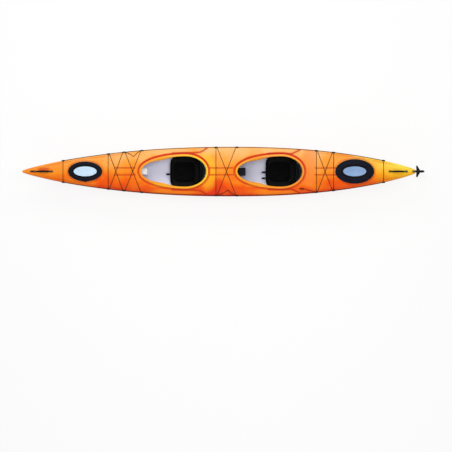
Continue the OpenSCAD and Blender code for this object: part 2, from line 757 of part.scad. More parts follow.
// A place on the deck: s is the share of the half beam, lift the height off the surface
function deck_point(x, s) = [x, half_beam(x) * s, deck_z(x, half_beam(x) * s)];
function deck_normal(x, s) = unit(cross(
    deck_point(x + 1, s) - deck_point(x - 1, s), deck_point(x, s + 0.004) - deck_point(x, s - 0.004)
));
function on_deck(x, s, lift) = deck_point(x, s) + lift * deck_normal(x, s);
module place_on_deck(x, s, lift) {
    n = deck_normal(x, s);
    translate(on_deck(x, s, lift)) rotate([-asin(n[1]), atan2(n[0], n[2]), 0]) children();
}
fitting_lift = 0.4;
fitting_half = 10;
cord_lift = cord_radius + 1.45;
// A fitting is turned to lie along the gunwale
function edge_turn(x) = atan((half_beam(x + 20) - half_beam(x - 20)) / 40);
module at_fittings() {
    for (x = fitting_x, way = [-1, 1])
        place_on_deck(x, way * sin(fitting_angle), fitting_lift) rotate([0, 0, way * edge_turn(x)]) children();
}
// A plate with round ends, whose sides lie a hair inside them
module oblong(half, r) {
    union() {
        for (end = [-1, 1]) translate([end * half, 0]) circle(r = r);
        square([2 * half, 2 * r - 0.3], center = true);
    }
}
module deck_fittings() {
    base = fitting_radius - 1;
    top = fitting_radius - 6;
    color("black") at_fittings() difference() {
        union() {
            linear_extrude(height = 4) oblong(fitting_half, fitting_radius);
            for (end = [-1, 1])
                translate([end * fitting_half, 0, 4]) cylinder(r1 = base, r2 = top, h = 6);
            rotate([90, 0, 90]) linear_extrude(height = 2 * fitting_half, center = true)
                polygon([[0.2 - base, 3.8], [base - 0.2, 3.8], [top - 0.2, 10], [0.2 - top, 10]]);
        }
        translate([0, 0, -1]) cylinder(r = 2.6, h = 12);
    }
}
module fitting_screws() {
    color("silver") at_fittings() union() {
        cylinder(r = 2.5, h = 11);
        translate([0, 0, 10.1]) cylinder(r = 5, h = 2.4);
    }
}

// Cords are swept as five-sided tubes along lists of points
function tube(path, r) =
    let (last = len(path) - 1)
    loft([
        for (i = [0:last])
            let (t = unit(path[min(last, i + 1)] - path[max(0, i - 1)]))
            let (side = unit(cross([0, 0, 1], t)), up = cross(t, side))
            [for (k = [0:4]) path[i] + r * (cos(72 * k) * side - sin(72 * k) * up)]
    ]);
// How far round the deck a cord starts so that it clears the fitting
function fitting_step(x) =
    let (p = on_deck(x, sin(fitting_angle), 0), q = on_deck(x, sin(fitting_angle - 8), 0))
    8 * (fitting_radius + 0.9) / norm(p - q);
function along_edge(a, b, way) =
    let (clear = fitting_half + fitting_radius + 0.3, start = a + clear, end = b - clear)
    [for (x = span(start, end, ceil((end - start) / 120))) on_deck(x, way * sin(fitting_angle), cord_lift)];
function over_deck(a, b, way, n, hop) =
    let (from = fitting_angle - fitting_step(a), to = fitting_angle - fitting_step(b))
    let (top = sin(fitting_angle))
    [
        for (f = span(from, -to, n))
            let (share = (top - sin(f)) / (2 * top))
            on_deck(a + (b - a) * share, way * sin(f), cord_lift + hop * bell(f, 0, 14))
    ];
// A pair of cords crosses on the centre line, one over the other
cord_shift = 14;
dip_shift = 20;
function crossed(a, b) = [
    tube(over_deck(a + cord_shift, b - cord_shift, 1, 12, 0), cord_radius),
    tube(over_deck(a + cord_shift, b - cord_shift, -1, 12, 2 * cord_radius + 1.2), cord_radius)
];
function straight(x) = tube(over_deck(x, x, 1, 10, 0), cord_radius);
// A slack cord dips in from the edge to a point and back
function dipped(a, b, way, x, y) =
    let (deep = asin(y / half_beam(x)), from = fitting_angle - fitting_step(a))
    let (to = fitting_angle - fitting_step(b))
    tube(concat(
        [
            for (f = span(from, deep, 4))
                let (k = (from - f) / (from - deep))
                on_deck(a + dip_shift + (x - a - dip_shift) * k, way * sin(f), cord_lift)
        ],
        [
            for (f = span(deep, to, 4))
                if (f != deep)
                    let (k = (f - deep) / (to - deep))
                    on_deck(x + (b - dip_shift - x) * k, way * sin(f), cord_lift)
        ]
    ), cord_radius);
function edge_cords(way) = [
    for (i = [0:len(fitting_x) - 2]) tube(along_edge(fitting_x[i], fitting_x[i + 1], way), cord_radius)
];

module perimeter_lines() {
    color("black") mesh(joined(concat(edge_cords(1), edge_cords(-1))));
}
module cross_lines() {
    color("black") mesh(joined([
        for (x = [bow_line_x, fore_line_x, mid_line_x, aft_line_x, rear_line_x, stern_line_x]) straight(x)
    ]));
}
module fore_bungees() {
    color("black") mesh(joined(concat(
        crossed(fore_line_x, peak_line_x), crossed(peak_line_x, peak_end_x),
        [dipped(peak_line_x, peak_end_x, 1, peak_line_x + 130, 190)]
    )));
}
module mid_bungees() {
    color("black") mesh(joined(concat(
        crossed(mid_line_x, mid_end_x), [dipped(mid_line_x, mid_end_x, -1, mid_line_x + 158, 245)]
    )));
}
module aft_bungees() {
    color("black") mesh(joined(crossed(aft_line_x, rear_line_x)));
}

// A carry handle is a strap arched between two round ends
handle_inset = 235;
bow_handle_x = handle_inset + 48 - half_length;
stern_handle_x = half_length - handle_inset;
strap_width = 16;
strap_thickness = 6;
end_radius = 15;
plate_lead = 56;
plate_radius = 11;
function handle_screw_x(x, lead) =
    concat([x - handle_span / 2, x + handle_span / 2], lead > 0 ? [x - handle_span / 2 - lead] : []);
module handle(x, lead) {
    foot = max(crown(x - handle_span / 2), crown(x + handle_span / 2)) + 0.4;
    chord = handle_span / 2 - 12;
    bend = (chord * chord + handle_rise * handle_rise) / (2 * handle_rise);
    color("black") difference() {
        union() {
            translate([x, 0, foot]) upright(0, strap_width) intersection() {
                difference() {
                    translate([0, handle_rise - bend]) circle(r = bend + strap_thickness, $fn = 180);
                    translate([0, handle_rise - bend]) circle(r = bend, $fn = 180);
                }
                translate([-handle_span, 0]) square([2 * handle_span, 2 * handle_rise]);
            }
            for (end = [-1, 1])
                translate([x + end * handle_span / 2, 0, foot]) cylinder(r = end_radius, h = 5);
            if (lead > 0) translate([x - handle_span / 2 - lead / 2, 0, foot])
                linear_extrude(height = 5) oblong(lead / 2, plate_radius);
        }
        for (p = handle_screw_x(x, lead)) translate([p, 0, foot - 1]) cylinder(r = 3.1, h = 7);
    }
}
module handle_fasteners(x, lead) {
    foot = max(crown(x - handle_span / 2), crown(x + handle_span / 2)) + 0.4;
    for (p = handle_screw_x(x, lead)) translate([p, 0, foot]) union() {
        cylinder(r = 3, h = 6);
        translate([0, 0, 5.1]) cylinder(r = 6, h = 3);
    }
}
module bow_handle() {
    handle(bow_handle_x, plate_lead);
}
module stern_handle() {
    handle(stern_handle_x, 0);
}
module handle_screws() {
    color("silver") union() {
        handle_fasteners(bow_handle_x, plate_lead);
        handle_fasteners(stern_handle_x, 0);
    }
}

// The cleat for the rudder's lift line stands on the port side of the aft cockpit
cleat_x = aft_line_x - 195;
cleat_s = -231 / half_beam(cleat_x);
module lift_cleat() {
    color("black") place_on_deck(cleat_x, cleat_s, fitting_lift) union() {
        translate([-24, -7, 0]) cube([48, 14, 5]);
        translate([-24, 0, 0]) cylinder(r = 7, h = 5);
        translate([24, 0, 0]) cylinder(r = 7, h = 5);
        cylinder(r = 5, h = 12);
        translate([-22, -4, 10]) cube([44, 8, 6]);
    }
}
module lift_line() {
    start = cleat_x + 32;
    end = aft_line_x - fitting_half - fitting_radius * 0.8;
    stop = sin(fitting_angle - fitting_step(aft_line_x) * 0.9);
    color("black") mesh(tube([
        for (k = span(0, 1, 6))
            on_deck(start + (end - start) * k, cleat_s + (-stop - cleat_s) * k, cord_lift)
    ], cord_radius));
}

// The rudder turns about an upright pin behind the stern
axis_x = half_length + rudder_axis_gap;
sleeve_top = deck_height + 10;
sleeve_low = sleeve_top - 62;
bracket_foot = crown(half_length) + 0.5;
bracket_holes = [half_length - 36, half_length - 14];
module rudder_bracket() {
    color("dimgray") difference() {
        union() {
            translate([half_length - 46, -13, bracket_foot]) cube([46 + rudder_axis_gap, 26, 6]);
            translate([half_length + 0.3, -13, sleeve_low])
                cube([rudder_axis_gap, 26, bracket_foot + 6 - sleeve_low]);
            translate([axis_x, 0, sleeve_low]) cylinder(r = 13, h = sleeve_top - sleeve_low);
        }
        translate([axis_x, 0, sleeve_low - 1]) cylinder(r = 6.05, h = sleeve_top - sleeve_low + 2);
        for (x = bracket_holes) translate([x, 0, bracket_foot - 1]) cylinder(r = 3.1, h = 8);
    }
}
module bracket_screws() {
    color("silver") for (x = bracket_holes) translate([x, 0, bracket_foot]) union() {
        cylinder(r = 3, h = 7);
        translate([0, 0, 6.1]) cylinder(r = 6, h = 3);
    }
}
hub_low = sleeve_top + 0.4;
hub_high = hub_low + 8;
module rudder_pin() {
    color("silver") union() {
        translate([axis_x, 0, sleeve_low - 6]) cylinder(r = 6, h = hub_high - sleeve_low + 7);
        translate([axis_x, 0, hub_high + 0.3]) cylinder(r = 10, h = 4);
        translate([axis_x, 0, sleeve_low - 5]) cylinder(r = 10, h = 4.7);
    }
}
blade_pin_x = axis_x + 53;
blade_thick = 14;
cheek_in = blade_thick / 2 + 0.4;
cheek_out = cheek_in + 6;
module rudder_yoke() {
    color("dimgray") difference() {
        union() {
            translate([0, 0, hub_low]) linear_extrude(height = hub_high - hub_low) union() {
                translate([axis_x, 0]) circle(r = 17);
                polygon([
                    [axis_x - 27, horn_reach - 6], [axis_x - 27, horn_reach + 6],
                    [axis_x - 11, horn_reach + 6], [axis_x + 28, 12], [axis_x + 28, -12],
                    [axis_x - 11, -horn_reach - 6], [axis_x - 27, -horn_reach - 6],
                    [axis_x - 27, 6 - horn_reach], [axis_x - 24, -34], [axis_x - 24, 34]
                ]);
            }
            translate([axis_x + 16, -cheek_out, hub_low]) cube([10, 2 * cheek_out, 56]);
            for (side = [-1, 1])
                upright(side * (cheek_in + cheek_out) / 2, cheek_out - cheek_in) union() {
                    translate([blade_pin_x, rudder_pin_height]) circle(r = 26);
                    polygon([
                        [axis_x + 16, hub_low], [blade_pin_x + 20, rudder_pin_height - 60],
                        [blade_pin_x + 26, rudder_pin_height], [blade_pin_x, rudder_pin_height + 26],
                        [axis_x + 16, hub_low + 56]
                    ]);
                }
        }
        translate([axis_x, 0, hub_low - 1]) cylinder(r = 6.05, h = 12);
        cross_bar(blade_pin_x, rudder_pin_height, 5.05, -20, 20);
        for (side = [-1, 1])
            translate([axis_x - 19, side * horn_reach, hub_low - 1]) cylinder(r = 3, h = 12);
    }
}
module rudder_blade_pin() {
    color("silver") union() {
        cross_bar(blade_pin_x, rudder_pin_height, 5, -cheek_out - 2, cheek_out + 2);
        cross_bar(blade_pin_x, rudder_pin_height, 9, cheek_out + 0.3, cheek_out + 4);
        cross_bar(blade_pin_x, rudder_pin_height, 9, -cheek_out - 4, -cheek_out - 0.3);
    }
}
// The blade hangs from its pin, widest at its middle
module rudder_blade() {
    x = blade_pin_x;
    z = rudder_pin_height;
    low = -rudder_depth;
    color("black") upright(0, blade_thick) difference() {
        polygon(concat(
            arc(x, z, 22, 0, 180, 10),
            [[x - 24, z - 40], [x - 24, z - 100], [x - 36, z - 160], [x - 46, 130]],
            [[x - 48, 80], [x - 46, 20], [x - 40, low + 60]],
            arc(x - 20, low + 16, 16, 190, 270, 4), arc(x + 18, low + 14, 14, 270, 350, 4),
            [[x + 41, low + 80], [x + 48, 40], [x + 50, 90], [x + 46, 150]],
            [[x + 36, z - 140], [x + 30, z - 90], [x + 27, z - 40]]
        ));
        translate([x, z]) circle(r = 5.05);
    }
}

// The skeg hangs in a case over its slot and swings up into it
skeg_pin_x = skeg_slot_x + 23;
skeg_pin_z = 28;
case_top = 186;
case_wall = 3;
skeg_half = 4;
module skeg_case() {
    half = slot_half + case_wall;
    low = wall;
    color("dimgray") difference() {
        translate([skeg_slot_x - case_wall, -half, low])
            cube([skeg_slot_length + 2 * case_wall, 2 * half, case_top + case_wall - low]);
        translate([skeg_slot_x, -slot_half, low - 1])
            cube([skeg_slot_length, 2 * slot_half, case_top - low + 1]);
        cross_bar(skeg_pin_x, skeg_pin_z, 4.05, -20, 20);
    }
}
module skeg_pin() {
    color("silver") cross_bar(skeg_pin_x, skeg_pin_z, 4, -slot_half - case_wall, slot_half + case_wall);
}
module skeg_blade() {
    x = skeg_pin_x;
    color("black") upright(0, 2 * skeg_half) difference() {
        polygon(concat(
            arc(x, skeg_pin_z, 15, 70, 235, 8),
            arc(x + 272, 22 - skeg_depth, 22, 247, 340, 6),
            [[x + 334, -20], [x + 340, 8]],
            arc(x + 326, 12, 12, 20, 80, 3)
        ));
        translate([x, skeg_pin_z]) circle(r = 4.05);
    }
}

hull_shell();
deck_shell();
bow_bulkhead();
stern_bulkhead();
front_pillar();
mid_pillar();
front_seat_runners();
front_seat_pan();
front_seat_ears();
front_seat_cushion();
front_seat_strap();
front_backrest_shell();
front_backrest_pad();
front_backrest_pins();
rear_seat_runners();
rear_seat_pan();
rear_seat_ears();
rear_seat_cushion();
rear_seat_strap();
rear_backrest_shell();
rear_backrest_pad();
rear_backrest_pins();
front_rails();
front_foot_rest_left();
front_foot_rest_right();
pedal_rails();
rudder_pedal_left();
rudder_pedal_right();
front_hatch_cover();
front_hatch_plate();
rear_hatch_cover();
rear_hatch_plate();
deck_fittings();
fitting_screws();
perimeter_lines();
cross_lines();
fore_bungees();
mid_bungees();
aft_bungees();
bow_handle();
stern_handle();
handle_screws();
lift_cleat();
lift_line();
rudder_bracket();
bracket_screws();
rudder_pin();
rudder_yoke();
rudder_blade_pin();
rudder_blade();
skeg_case();
skeg_pin();
skeg_blade();
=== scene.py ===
# %% [markdown]
# # A tandem touring kayak
# This lesson dresses a imported CAD model of a two-seat kayak. The CAD solids give every size and
# every joint. Blender gives the smooth mouldings, the padding, the cords and the finishes.
# The frame is loaded first, and its box is kept, so that the floor can be laid just under it.

# %% Load the frame
import math

import bmesh
import bpy
from mathutils import Matrix, Vector


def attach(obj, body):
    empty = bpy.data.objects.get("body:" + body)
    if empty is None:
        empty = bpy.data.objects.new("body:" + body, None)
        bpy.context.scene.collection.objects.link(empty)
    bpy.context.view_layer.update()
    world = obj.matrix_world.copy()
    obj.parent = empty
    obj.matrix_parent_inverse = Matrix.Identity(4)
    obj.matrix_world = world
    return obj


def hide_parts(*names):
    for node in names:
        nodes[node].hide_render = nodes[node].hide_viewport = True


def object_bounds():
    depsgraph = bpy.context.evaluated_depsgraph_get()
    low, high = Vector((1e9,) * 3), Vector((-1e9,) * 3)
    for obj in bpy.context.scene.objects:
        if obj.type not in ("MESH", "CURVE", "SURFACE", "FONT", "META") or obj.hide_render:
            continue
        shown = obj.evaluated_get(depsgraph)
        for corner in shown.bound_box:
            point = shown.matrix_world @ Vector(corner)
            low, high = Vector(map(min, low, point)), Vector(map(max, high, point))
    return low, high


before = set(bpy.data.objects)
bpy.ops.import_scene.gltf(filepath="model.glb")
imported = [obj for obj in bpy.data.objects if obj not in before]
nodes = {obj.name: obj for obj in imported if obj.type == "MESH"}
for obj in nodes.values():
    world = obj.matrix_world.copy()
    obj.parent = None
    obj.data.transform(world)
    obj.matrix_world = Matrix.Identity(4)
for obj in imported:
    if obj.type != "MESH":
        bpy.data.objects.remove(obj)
cad_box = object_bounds()
print("CAD box", [[round(v, 3) for v in corner] for corner in cad_box])

# %% [markdown]
# ## Camera
# The upper picture looks straight down on the deck with the bow to the left. A long lens far above
# the boat gives that flat view. One pixel of the picture is 13.36 mm on the boat, so the width of
# the frame and the place of the boat in it follow from a few pixels.

# %% Camera
PHOTO_SIDE = 452
PIXEL = 0.01336
ORIGIN_PIXEL = (219.0, 171.5)
LENS, SENSOR, CLIP_END = 200.0, 36.0, 200.0
DECK_LEVEL = 0.25
frame_width = PHOTO_SIDE * PIXEL
camera_data = bpy.data.cameras.new("camera")
camera_data.lens = LENS
camera_data.sensor_width = SENSOR
camera_data.clip_end = CLIP_END
camera = bpy.data.objects.new("camera", camera_data)
camera.location = (
    (PHOTO_SIDE / 2 - ORIGIN_PIXEL[0]) * PIXEL,
    (ORIGIN_PIXEL[1] - PHOTO_SIDE / 2) * PIXEL,
    DECK_LEVEL + frame_width * LENS / SENSOR,
)
bpy.context.scene.collection.objects.link(camera)
bpy.context.scene.camera = camera
bpy.context.scene.view_settings.view_transform = "Standard"
print("camera height", round(camera.location.z, 2), "m")

# %% [markdown]
# ## Light and floor
# The pictures have soft light that comes from the starboard side and from above. One large lamp on
# that side, a weaker one on the other, one overhead that reaches into the cockpits, and a pale world
# give it. A white floor lies just under the lowest point, the tip of the rudder.

# %% Light and floor
FLOOR_GAP, FLOOR_HALF = 0.002, 40.0
FLOOR_Z = cad_box[0].z - FLOOR_GAP
LAMP_AIM = Vector((0.0, 0.0, 0.2))
WORLD_LIGHT, WORLD_SEEN = 0.5, 1.0
WHITE = (1.0, 1.0, 1.0, 1.0)


def lamp(name, place, size, power):
    """A rectangular soft lamp that points at the middle of the boat."""
    data = bpy.data.lights.new(name, "AREA")
    data.shape = "RECTANGLE"
    data.size, data.size_y = size
    data.energy = power
    thing = bpy.data.objects.new(name, data)
    thing.location = place
    thing.rotation_euler = (LAMP_AIM - Vector(place)).to_track_quat("-Z", "Y").to_euler()
    thing.visible_camera = False
    bpy.context.scene.collection.objects.link(thing)
    return thing


lamp("key_lamp", (-0.4, 4.2, 4.6), (6.5, 2.5), 150.0)
lamp("fill_lamp", (0.6, -4.6, 3.4), (6.5, 2.5), 42.0)
top_lamp = lamp("top_lamp", (0.0, 0.5, 5.6), (6.5, 1.6), 120.0)
top_lamp.visible_glossy = False

world = bpy.data.worlds.new("studio")
world.use_nodes = True
sky = world.node_tree.nodes
sky["Background"].inputs["Color"].default_value = WHITE
ray = sky.new("ShaderNodeLightPath")
level = sky.new("ShaderNodeMapRange")
level.inputs["To Min"].default_value = WORLD_LIGHT
level.inputs["To Max"].default_value = WORLD_SEEN
world.node_tree.links.new(ray.outputs["Is Camera Ray"], level.inputs["Value"])
world.node_tree.links.new(level.outputs["Result"], sky["Background"].inputs["Strength"])
bpy.context.scene.world = world


def piece_from(bm, name):
    """Turns a finished bmesh into an object at the origin."""
    data = bpy.data.meshes.new(name)
    bm.to_mesh(data)
    bm.free()
    thing = bpy.data.objects.new(name, data)
    bpy.context.scene.collection.objects.link(thing)
    return thing


bm = bmesh.new()
bmesh.ops.create_grid(bm, x_segments=1, y_segments=1, size=FLOOR_HALF)
bmesh.ops.translate(bm, verts=bm.verts, vec=(0.0, 0.0, FLOOR_Z))
floor = piece_from(bm, "floor")
print("floor at", round(FLOOR_Z, 3), "m")

# %% [markdown]
# ## A small kit for materials
# Every finish here is a node tree that reads Object coordinates or an attribute of the mesh. A few
# helpers keep the trees short: one adds a node and feeds its inputs, and the others use it to add a
# texture, a ramp or a mix and return the socket that comes out.

# %% Material kit
MIX_SHARE, MIX_A, MIX_B, MIX_OUT = 0, 6, 7, 2
FLOOR_GLOW = 0.85
EVEN = (1.0, 1.0, 1.0)


class Finish:
    """A material whose nodes are added one by one."""

    def __init__(self, name, roughness=0.5, metallic=0.0, gloss=0.25):
        self.material = bpy.data.materials.new(name)
        self.material.use_nodes = True
        self.tree = self.material.node_tree
        self.shader = self.tree.nodes["Principled BSDF"]
        looks = {"Roughness": roughness, "Metallic": metallic, "Specular IOR Level": gloss}
        self.feed(self.shader, looks)

    def feed(self, node, values):
        """Links sockets to a node's inputs, and sets the inputs that get plain values."""
        for key, value in values.items():
            if isinstance(value, bpy.types.NodeSocket):
                self.tree.links.new(value, node.inputs[key])
            else:
                node.inputs[key].default_value = value

    def add(self, kind, out, values, **settings):
        """Adds a node with its settings and inputs, and returns one of its outputs."""
        made = self.tree.nodes.new(kind)
        for key, value in settings.items():
            setattr(made, key, value)
        self.feed(made, values)
        return made.outputs[out]

    def place(self, scale=EVEN, shift=(0.0, 0.0, 0.0)):
        source = self.add("ShaderNodeTexCoord", "Object", {})
        values = {"Vector": source, "Scale": scale, "Location": shift}
        return self.add("ShaderNodeMapping", "Vector", values)

    def noise(self, scale, detail=3.0, stretch=EVEN, distortion=0.0):
        values = {"Vector": self.place(stretch), "Scale": scale, "Detail": detail}
        values["Distortion"] = distortion
        return self.add("ShaderNodeTexNoise", "Fac", values)

    def wander(self, reach, scale, detail, distortion, stretch=EVEN):
        """Noise that sways to both sides of 0."""
        sway = self.noise(scale, detail, stretch, distortion)
        return self.scaled(sway, 0.25, 0.75, -reach, reach)

    def wave(self, direction, scale, distortion=0.0):
        values = {"Vector": self.place(), "Scale": scale, "Distortion": distortion}
        bands = {"wave_type": "BANDS", "bands_direction": direction}
        return self.add("ShaderNodeTexWave", "Fac", values, **bands)

    def cells(self, scale):
        values = {"Vector": self.place(), "Scale": scale}
        return self.add("ShaderNodeTexVoronoi", "Distance", values)

    def axis(self, name):
        return self.add("ShaderNodeSeparateXYZ", name, {"Vector": self.place()})

    def attribute(self, name):
        return self.add("ShaderNodeAttribute", "Fac", {}, attribute_name=name)

    def scaled(self, value, low, high, to_low=0.0, to_high=1.0, smooth=False):
        values = {"Value": value, "From Min": low, "From Max": high}
        values.update({"To Min": to_low, "To Max": to_high})
        kind = "SMOOTHSTEP" if smooth else "LINEAR"
        return self.add("ShaderNodeMapRange", "Result", values, interpolation_type=kind)

    def math(self, operation, a, b):
        return self.add("ShaderNodeMath", "Value", {0: a, 1: b}, operation=operation)

    def ramp(self, value, stops):
        made = self.tree.nodes.new("ShaderNodeValToRGB")
        points = made.color_ramp.elements
        while len(points) < len(stops):
            points.new(0.5)
        for point, (place, colour) in zip(points, stops):
            point.position = place
            point.color = colour
        self.feed(made, {"Fac": value})
        return made.outputs["Color"]

    def mix(self, share, a, b):
        values = {MIX_SHARE: share, MIX_A: a, MIX_B: b}
        return self.add("ShaderNodeMix", MIX_OUT, values, data_type="RGBA")

    def stain(self, name, strength, colour, paint):
        """Mixes a paint in where an attribute of the mesh says so."""
        return self.mix(self.math("MULTIPLY", self.attribute(name), strength), colour, paint)

    def colour(self, socket):
        self.feed(self.shader, {"Base Color": socket})

    def rough(self, socket):
        self.feed(self.shader, {"Roughness": socket})

    def bump(self, height, strength, distance):
        values = {"Height": height, "Strength": strength, "Distance": distance}
        self.feed(self.shader, {"Normal": self.add("ShaderNodeBump", "Normal", values)})


def tone(red, green, blue):
    """A colour as it is read on a screen, from 0 to 255, turned into Blender's linear colour."""

    def linear(value):
        share = value / 255.0
        return share / 12.92 if share <= 0.04045 else ((share + 0.055) / 1.055) ** 2.4

    return (linear(red), linear(green), linear(blue), 1.0)


floor_finish = Finish("pale_floor", roughness=0.9)
paper = floor_finish.mix(floor_finish.noise(0.6), tone(246, 246, 246), tone(252, 252, 252))
floor_finish.colour(paper)
rays = ("Is Camera Ray", "Is Glossy Ray")
seen = [floor_finish.add("ShaderNodeLightPath", ray, {}) for ray in rays]
share = floor_finish.math("MULTIPLY", floor_finish.math("MAXIMUM", *seen), FLOOR_GLOW)
glow = floor_finish.add("ShaderNodeEmission", "Emission", {"Color": WHITE})
shaders = {0: share, 1: floor_finish.shader.outputs["BSDF"], 2: glow}
both = floor_finish.add("ShaderNodeMixShader", "Shader", shaders)
floor_finish.feed(floor_finish.tree.nodes["Material Output"], {"Surface": both})
floor.data.materials.append(floor_finish.material)
print("floor finish with", len(floor_finish.tree.nodes), "nodes")

# %% [markdown]
# ## The lines of the boat
# The CAD model draws the boat from a few rules: how wide it is at each place, how high the gunwale,
# the keel and the deck's crown lie, and how full a section is. The same rules are repeated here in
# metres, so that a finer mesh follows the solids and every fitting still sits on it.

# %% Boat measures
HALF_LENGTH = 2.625
HALF_BEAM = 0.3325
WIDEST_X = 0.16
BOW_HALF, STERN_HALF = 0.012, 0.024
BOW_ROUND, STERN_ROUND = 0.014, 0.020
BOW_PINCH, STERN_PINCH = 0.97, 0.010
BOW_CURVE, STERN_CURVE, END_CURVE = 2.15, 2.3, 0.88
GUNWALE = 0.207
BOW_RISE, STERN_RISE = (0.074, 4.3), (0.043, 3)
STEM_HEIGHT, STEM_REACH, STEM_POWER = 0.262, 0.430, 1.15
CUT_HEIGHT, CUT_REACH, CUT_SLOPE = 0.186, 0.164, 1.5
DECK_HEIGHT, DECK_FALL, CAMBER = 0.302, 0.005, 2.4
WALL = 0.005
LEAST_HOLLOW, END_FILL = 0.02, 0.07
FRONT_COCKPIT, REAR_COCKPIT = -0.450, 0.832
COCKPIT_FORE, COCKPIT_AFT, COCKPIT_HALF = 0.586, 0.279, 0.2025
FRONT_TIP, REAR_TIP = FRONT_COCKPIT - COCKPIT_FORE, REAR_COCKPIT - COCKPIT_FORE
PEAK_RISE, PEAKS = 0.043, ((FRONT_TIP - 0.104, 0.24), (REAR_TIP - 0.106, 0.23))
DIP_DEPTH, DIPS = 0.020, ((FRONT_COCKPIT - 0.02, 0.3), (REAR_COCKPIT - 0.072, 0.3))
FRONT_HATCH, REAR_HATCH = -1.784, 1.810
FRONT_OPENING, REAR_OPENING = (0.1965, 0.101), (0.2285, 0.1325)
FRONT_COVER, REAR_COVER = 0.2285, 0.2605
SEAT_LIFT = 0.002
KEEL_ANGLE = math.radians(5.3)
SLOT_X = (1.745, 2.122)
SLOT_HALF = 0.007
print("hull of", 2 * HALF_LENGTH, "m by", 2 * HALF_BEAM, "m")

# %% Lines of the boat
def bell(value, centre, width):
    return math.exp(-(((value - centre) / width) ** 2))


def eased(value):
    t = min(1.0, max(0.0, value))
    return t * t * (3.0 - 2.0 * t)


def span(a, b, steps):
    return [a + (b - a) * i / steps for i in range(steps + 1)]


def half_beam(x):
    """Half the width at the gunwale, rounded off at the stem and at the stern."""
    ahead = x < WIDEST_X
    end = BOW_HALF if ahead else STERN_HALF
    reach = HALF_LENGTH + WIDEST_X if ahead else HALF_LENGTH - WIDEST_X
    share = (abs(x - WIDEST_X) / reach) ** (BOW_CURVE if ahead else STERN_CURVE)
    half = end + (HALF_BEAM - end) * max(0.0, 1.0 - share) ** END_CURVE
    nose = max(0.0, 1.0 - (x + HALF_LENGTH) / BOW_ROUND)
    tail = max(0.0, 1.0 - (HALF_LENGTH - x) / STERN_ROUND)
    pinched = STERN_PINCH * (1.0 - math.sqrt(1.0 - tail * tail))
    return half * math.sqrt(1.0 - BOW_PINCH * nose * nose) - pinched


def sheer(x):
    """Height of the gunwale."""
    rise, power = BOW_RISE if x < 0 else STERN_RISE
    return GUNWALE + rise * (abs(x) / HALF_LENGTH) ** power


def keel(x):
    """Height of the keel: flat, with a raked stem and a cut-away stern."""
    stem = STEM_HEIGHT * max(0.0, 1.0 - (x + HALF_LENGTH) / STEM_REACH) ** STEM_POWER
    return stem + min(CUT_HEIGHT, CUT_SLOPE * max(0.0, x - HALF_LENGTH + CUT_REACH))


def crown(x):
    """Height of the deck on its centre line."""
    peaks = PEAK_RISE * sum(bell(x, *peak) for peak in PEAKS)
    dips = DIP_DEPTH * sum(bell(x, *dip) for dip in DIPS)
    return DECK_HEIGHT - DECK_FALL * x / HALF_LENGTH + peaks - dips


def hatch_seat(x):
    """Height of the flat seat round a hatch."""
    return crown(x) + SEAT_LIFT


def hollow(x):
    """The moulding fills up towards its two ends."""
    return min(1.0, max(LEAST_HOLLOW, (HALF_LENGTH - abs(x)) / END_FILL))


def arch(share):
    return max(0.0, 1.0 - min(1.0, abs(share)) ** CAMBER) ** (1.0 / CAMBER)


def deck_z(x, y):
    return sheer(x) + (crown(x) - sheer(x)) * arch(y / half_beam(x))


def under_z(x, y):
    inner = half_beam(x) - WALL
    return sheer(x) + (crown(x) - sheer(x) - WALL) * hollow(x) * arch(y / inner)


print("beam", 2 * half_beam(WIDEST_X), "crown amidships", round(crown(0.0), 4))

# %% [markdown]
# ## A loft of loops
# A moulding like this is a loft: one loop of points after another, joined by a skin. Here the first
# loop is a circle from `create_circle`. `extrude_edge_only` pulls a new loop out of it, the new
# points are moved onto the next section, and so on to the end. Every loop has the same number of
# points, so the quads run straight from one end to the other.

# %% Loft helpers
CAP_SIDES = 9


def loop_edges(bm, verts):
    return [bm.edges.get(pair) for pair in zip(verts, verts[1:] + verts[:1])]


def loft(bm, sections):
    """Extrudes a circle of edges from section to section, and returns the loops of points."""
    verts = bmesh.ops.create_circle(bm, segments=len(sections[0]), radius=1.0)["verts"]
    loops = []
    for step, section in enumerate(sections):
        if step:
            pulled = bmesh.ops.extrude_edge_only(bm, edges=loop_edges(bm, verts))["geom"]
            fresh = {item for item in pulled if isinstance(item, bmesh.types.BMVert)}
            far_ends = [[edge.other_vert(vert) for edge in vert.link_edges] for vert in verts]
            verts = [next(far for far in ends if far in fresh) for ends in far_ends]
        for vert, point in zip(verts, section):
            vert.co = point
        loops.append(verts)
    return loops


def cap(bm, *loops):
    """Closes each loop with one flat face."""
    for verts in loops:
        bmesh.ops.contextual_create(bm, geom=loop_edges(bm, verts))


def closed_loft(bm, sections):
    loops = loft(bm, sections)
    cap(bm, loops[0], loops[-1])
    return loops


def mark(loops, layer, value):
    """Gives every point of some loops the same value of an attribute."""
    for loop in loops:
        for vert in loop:
            vert[layer] = value


def shade(bm, sharp=38.0):
    """Turns the faces outwards, shades them smooth and keeps the sharp corners."""
    bmesh.ops.recalc_face_normals(bm, faces=bm.faces)
    for face in bm.faces:
        face.smooth = len(face.verts) < CAP_SIDES
    for edge in bm.edges:
        edge.smooth = edge.calc_face_angle(0.0) < math.radians(sharp)


def lofted(name, sections, sharp=50.0):
    """A closed piece from one loft."""
    bm = bmesh.new()
    closed_loft(bm, sections)
    shade(bm, sharp)
    return piece_from(bm, name)


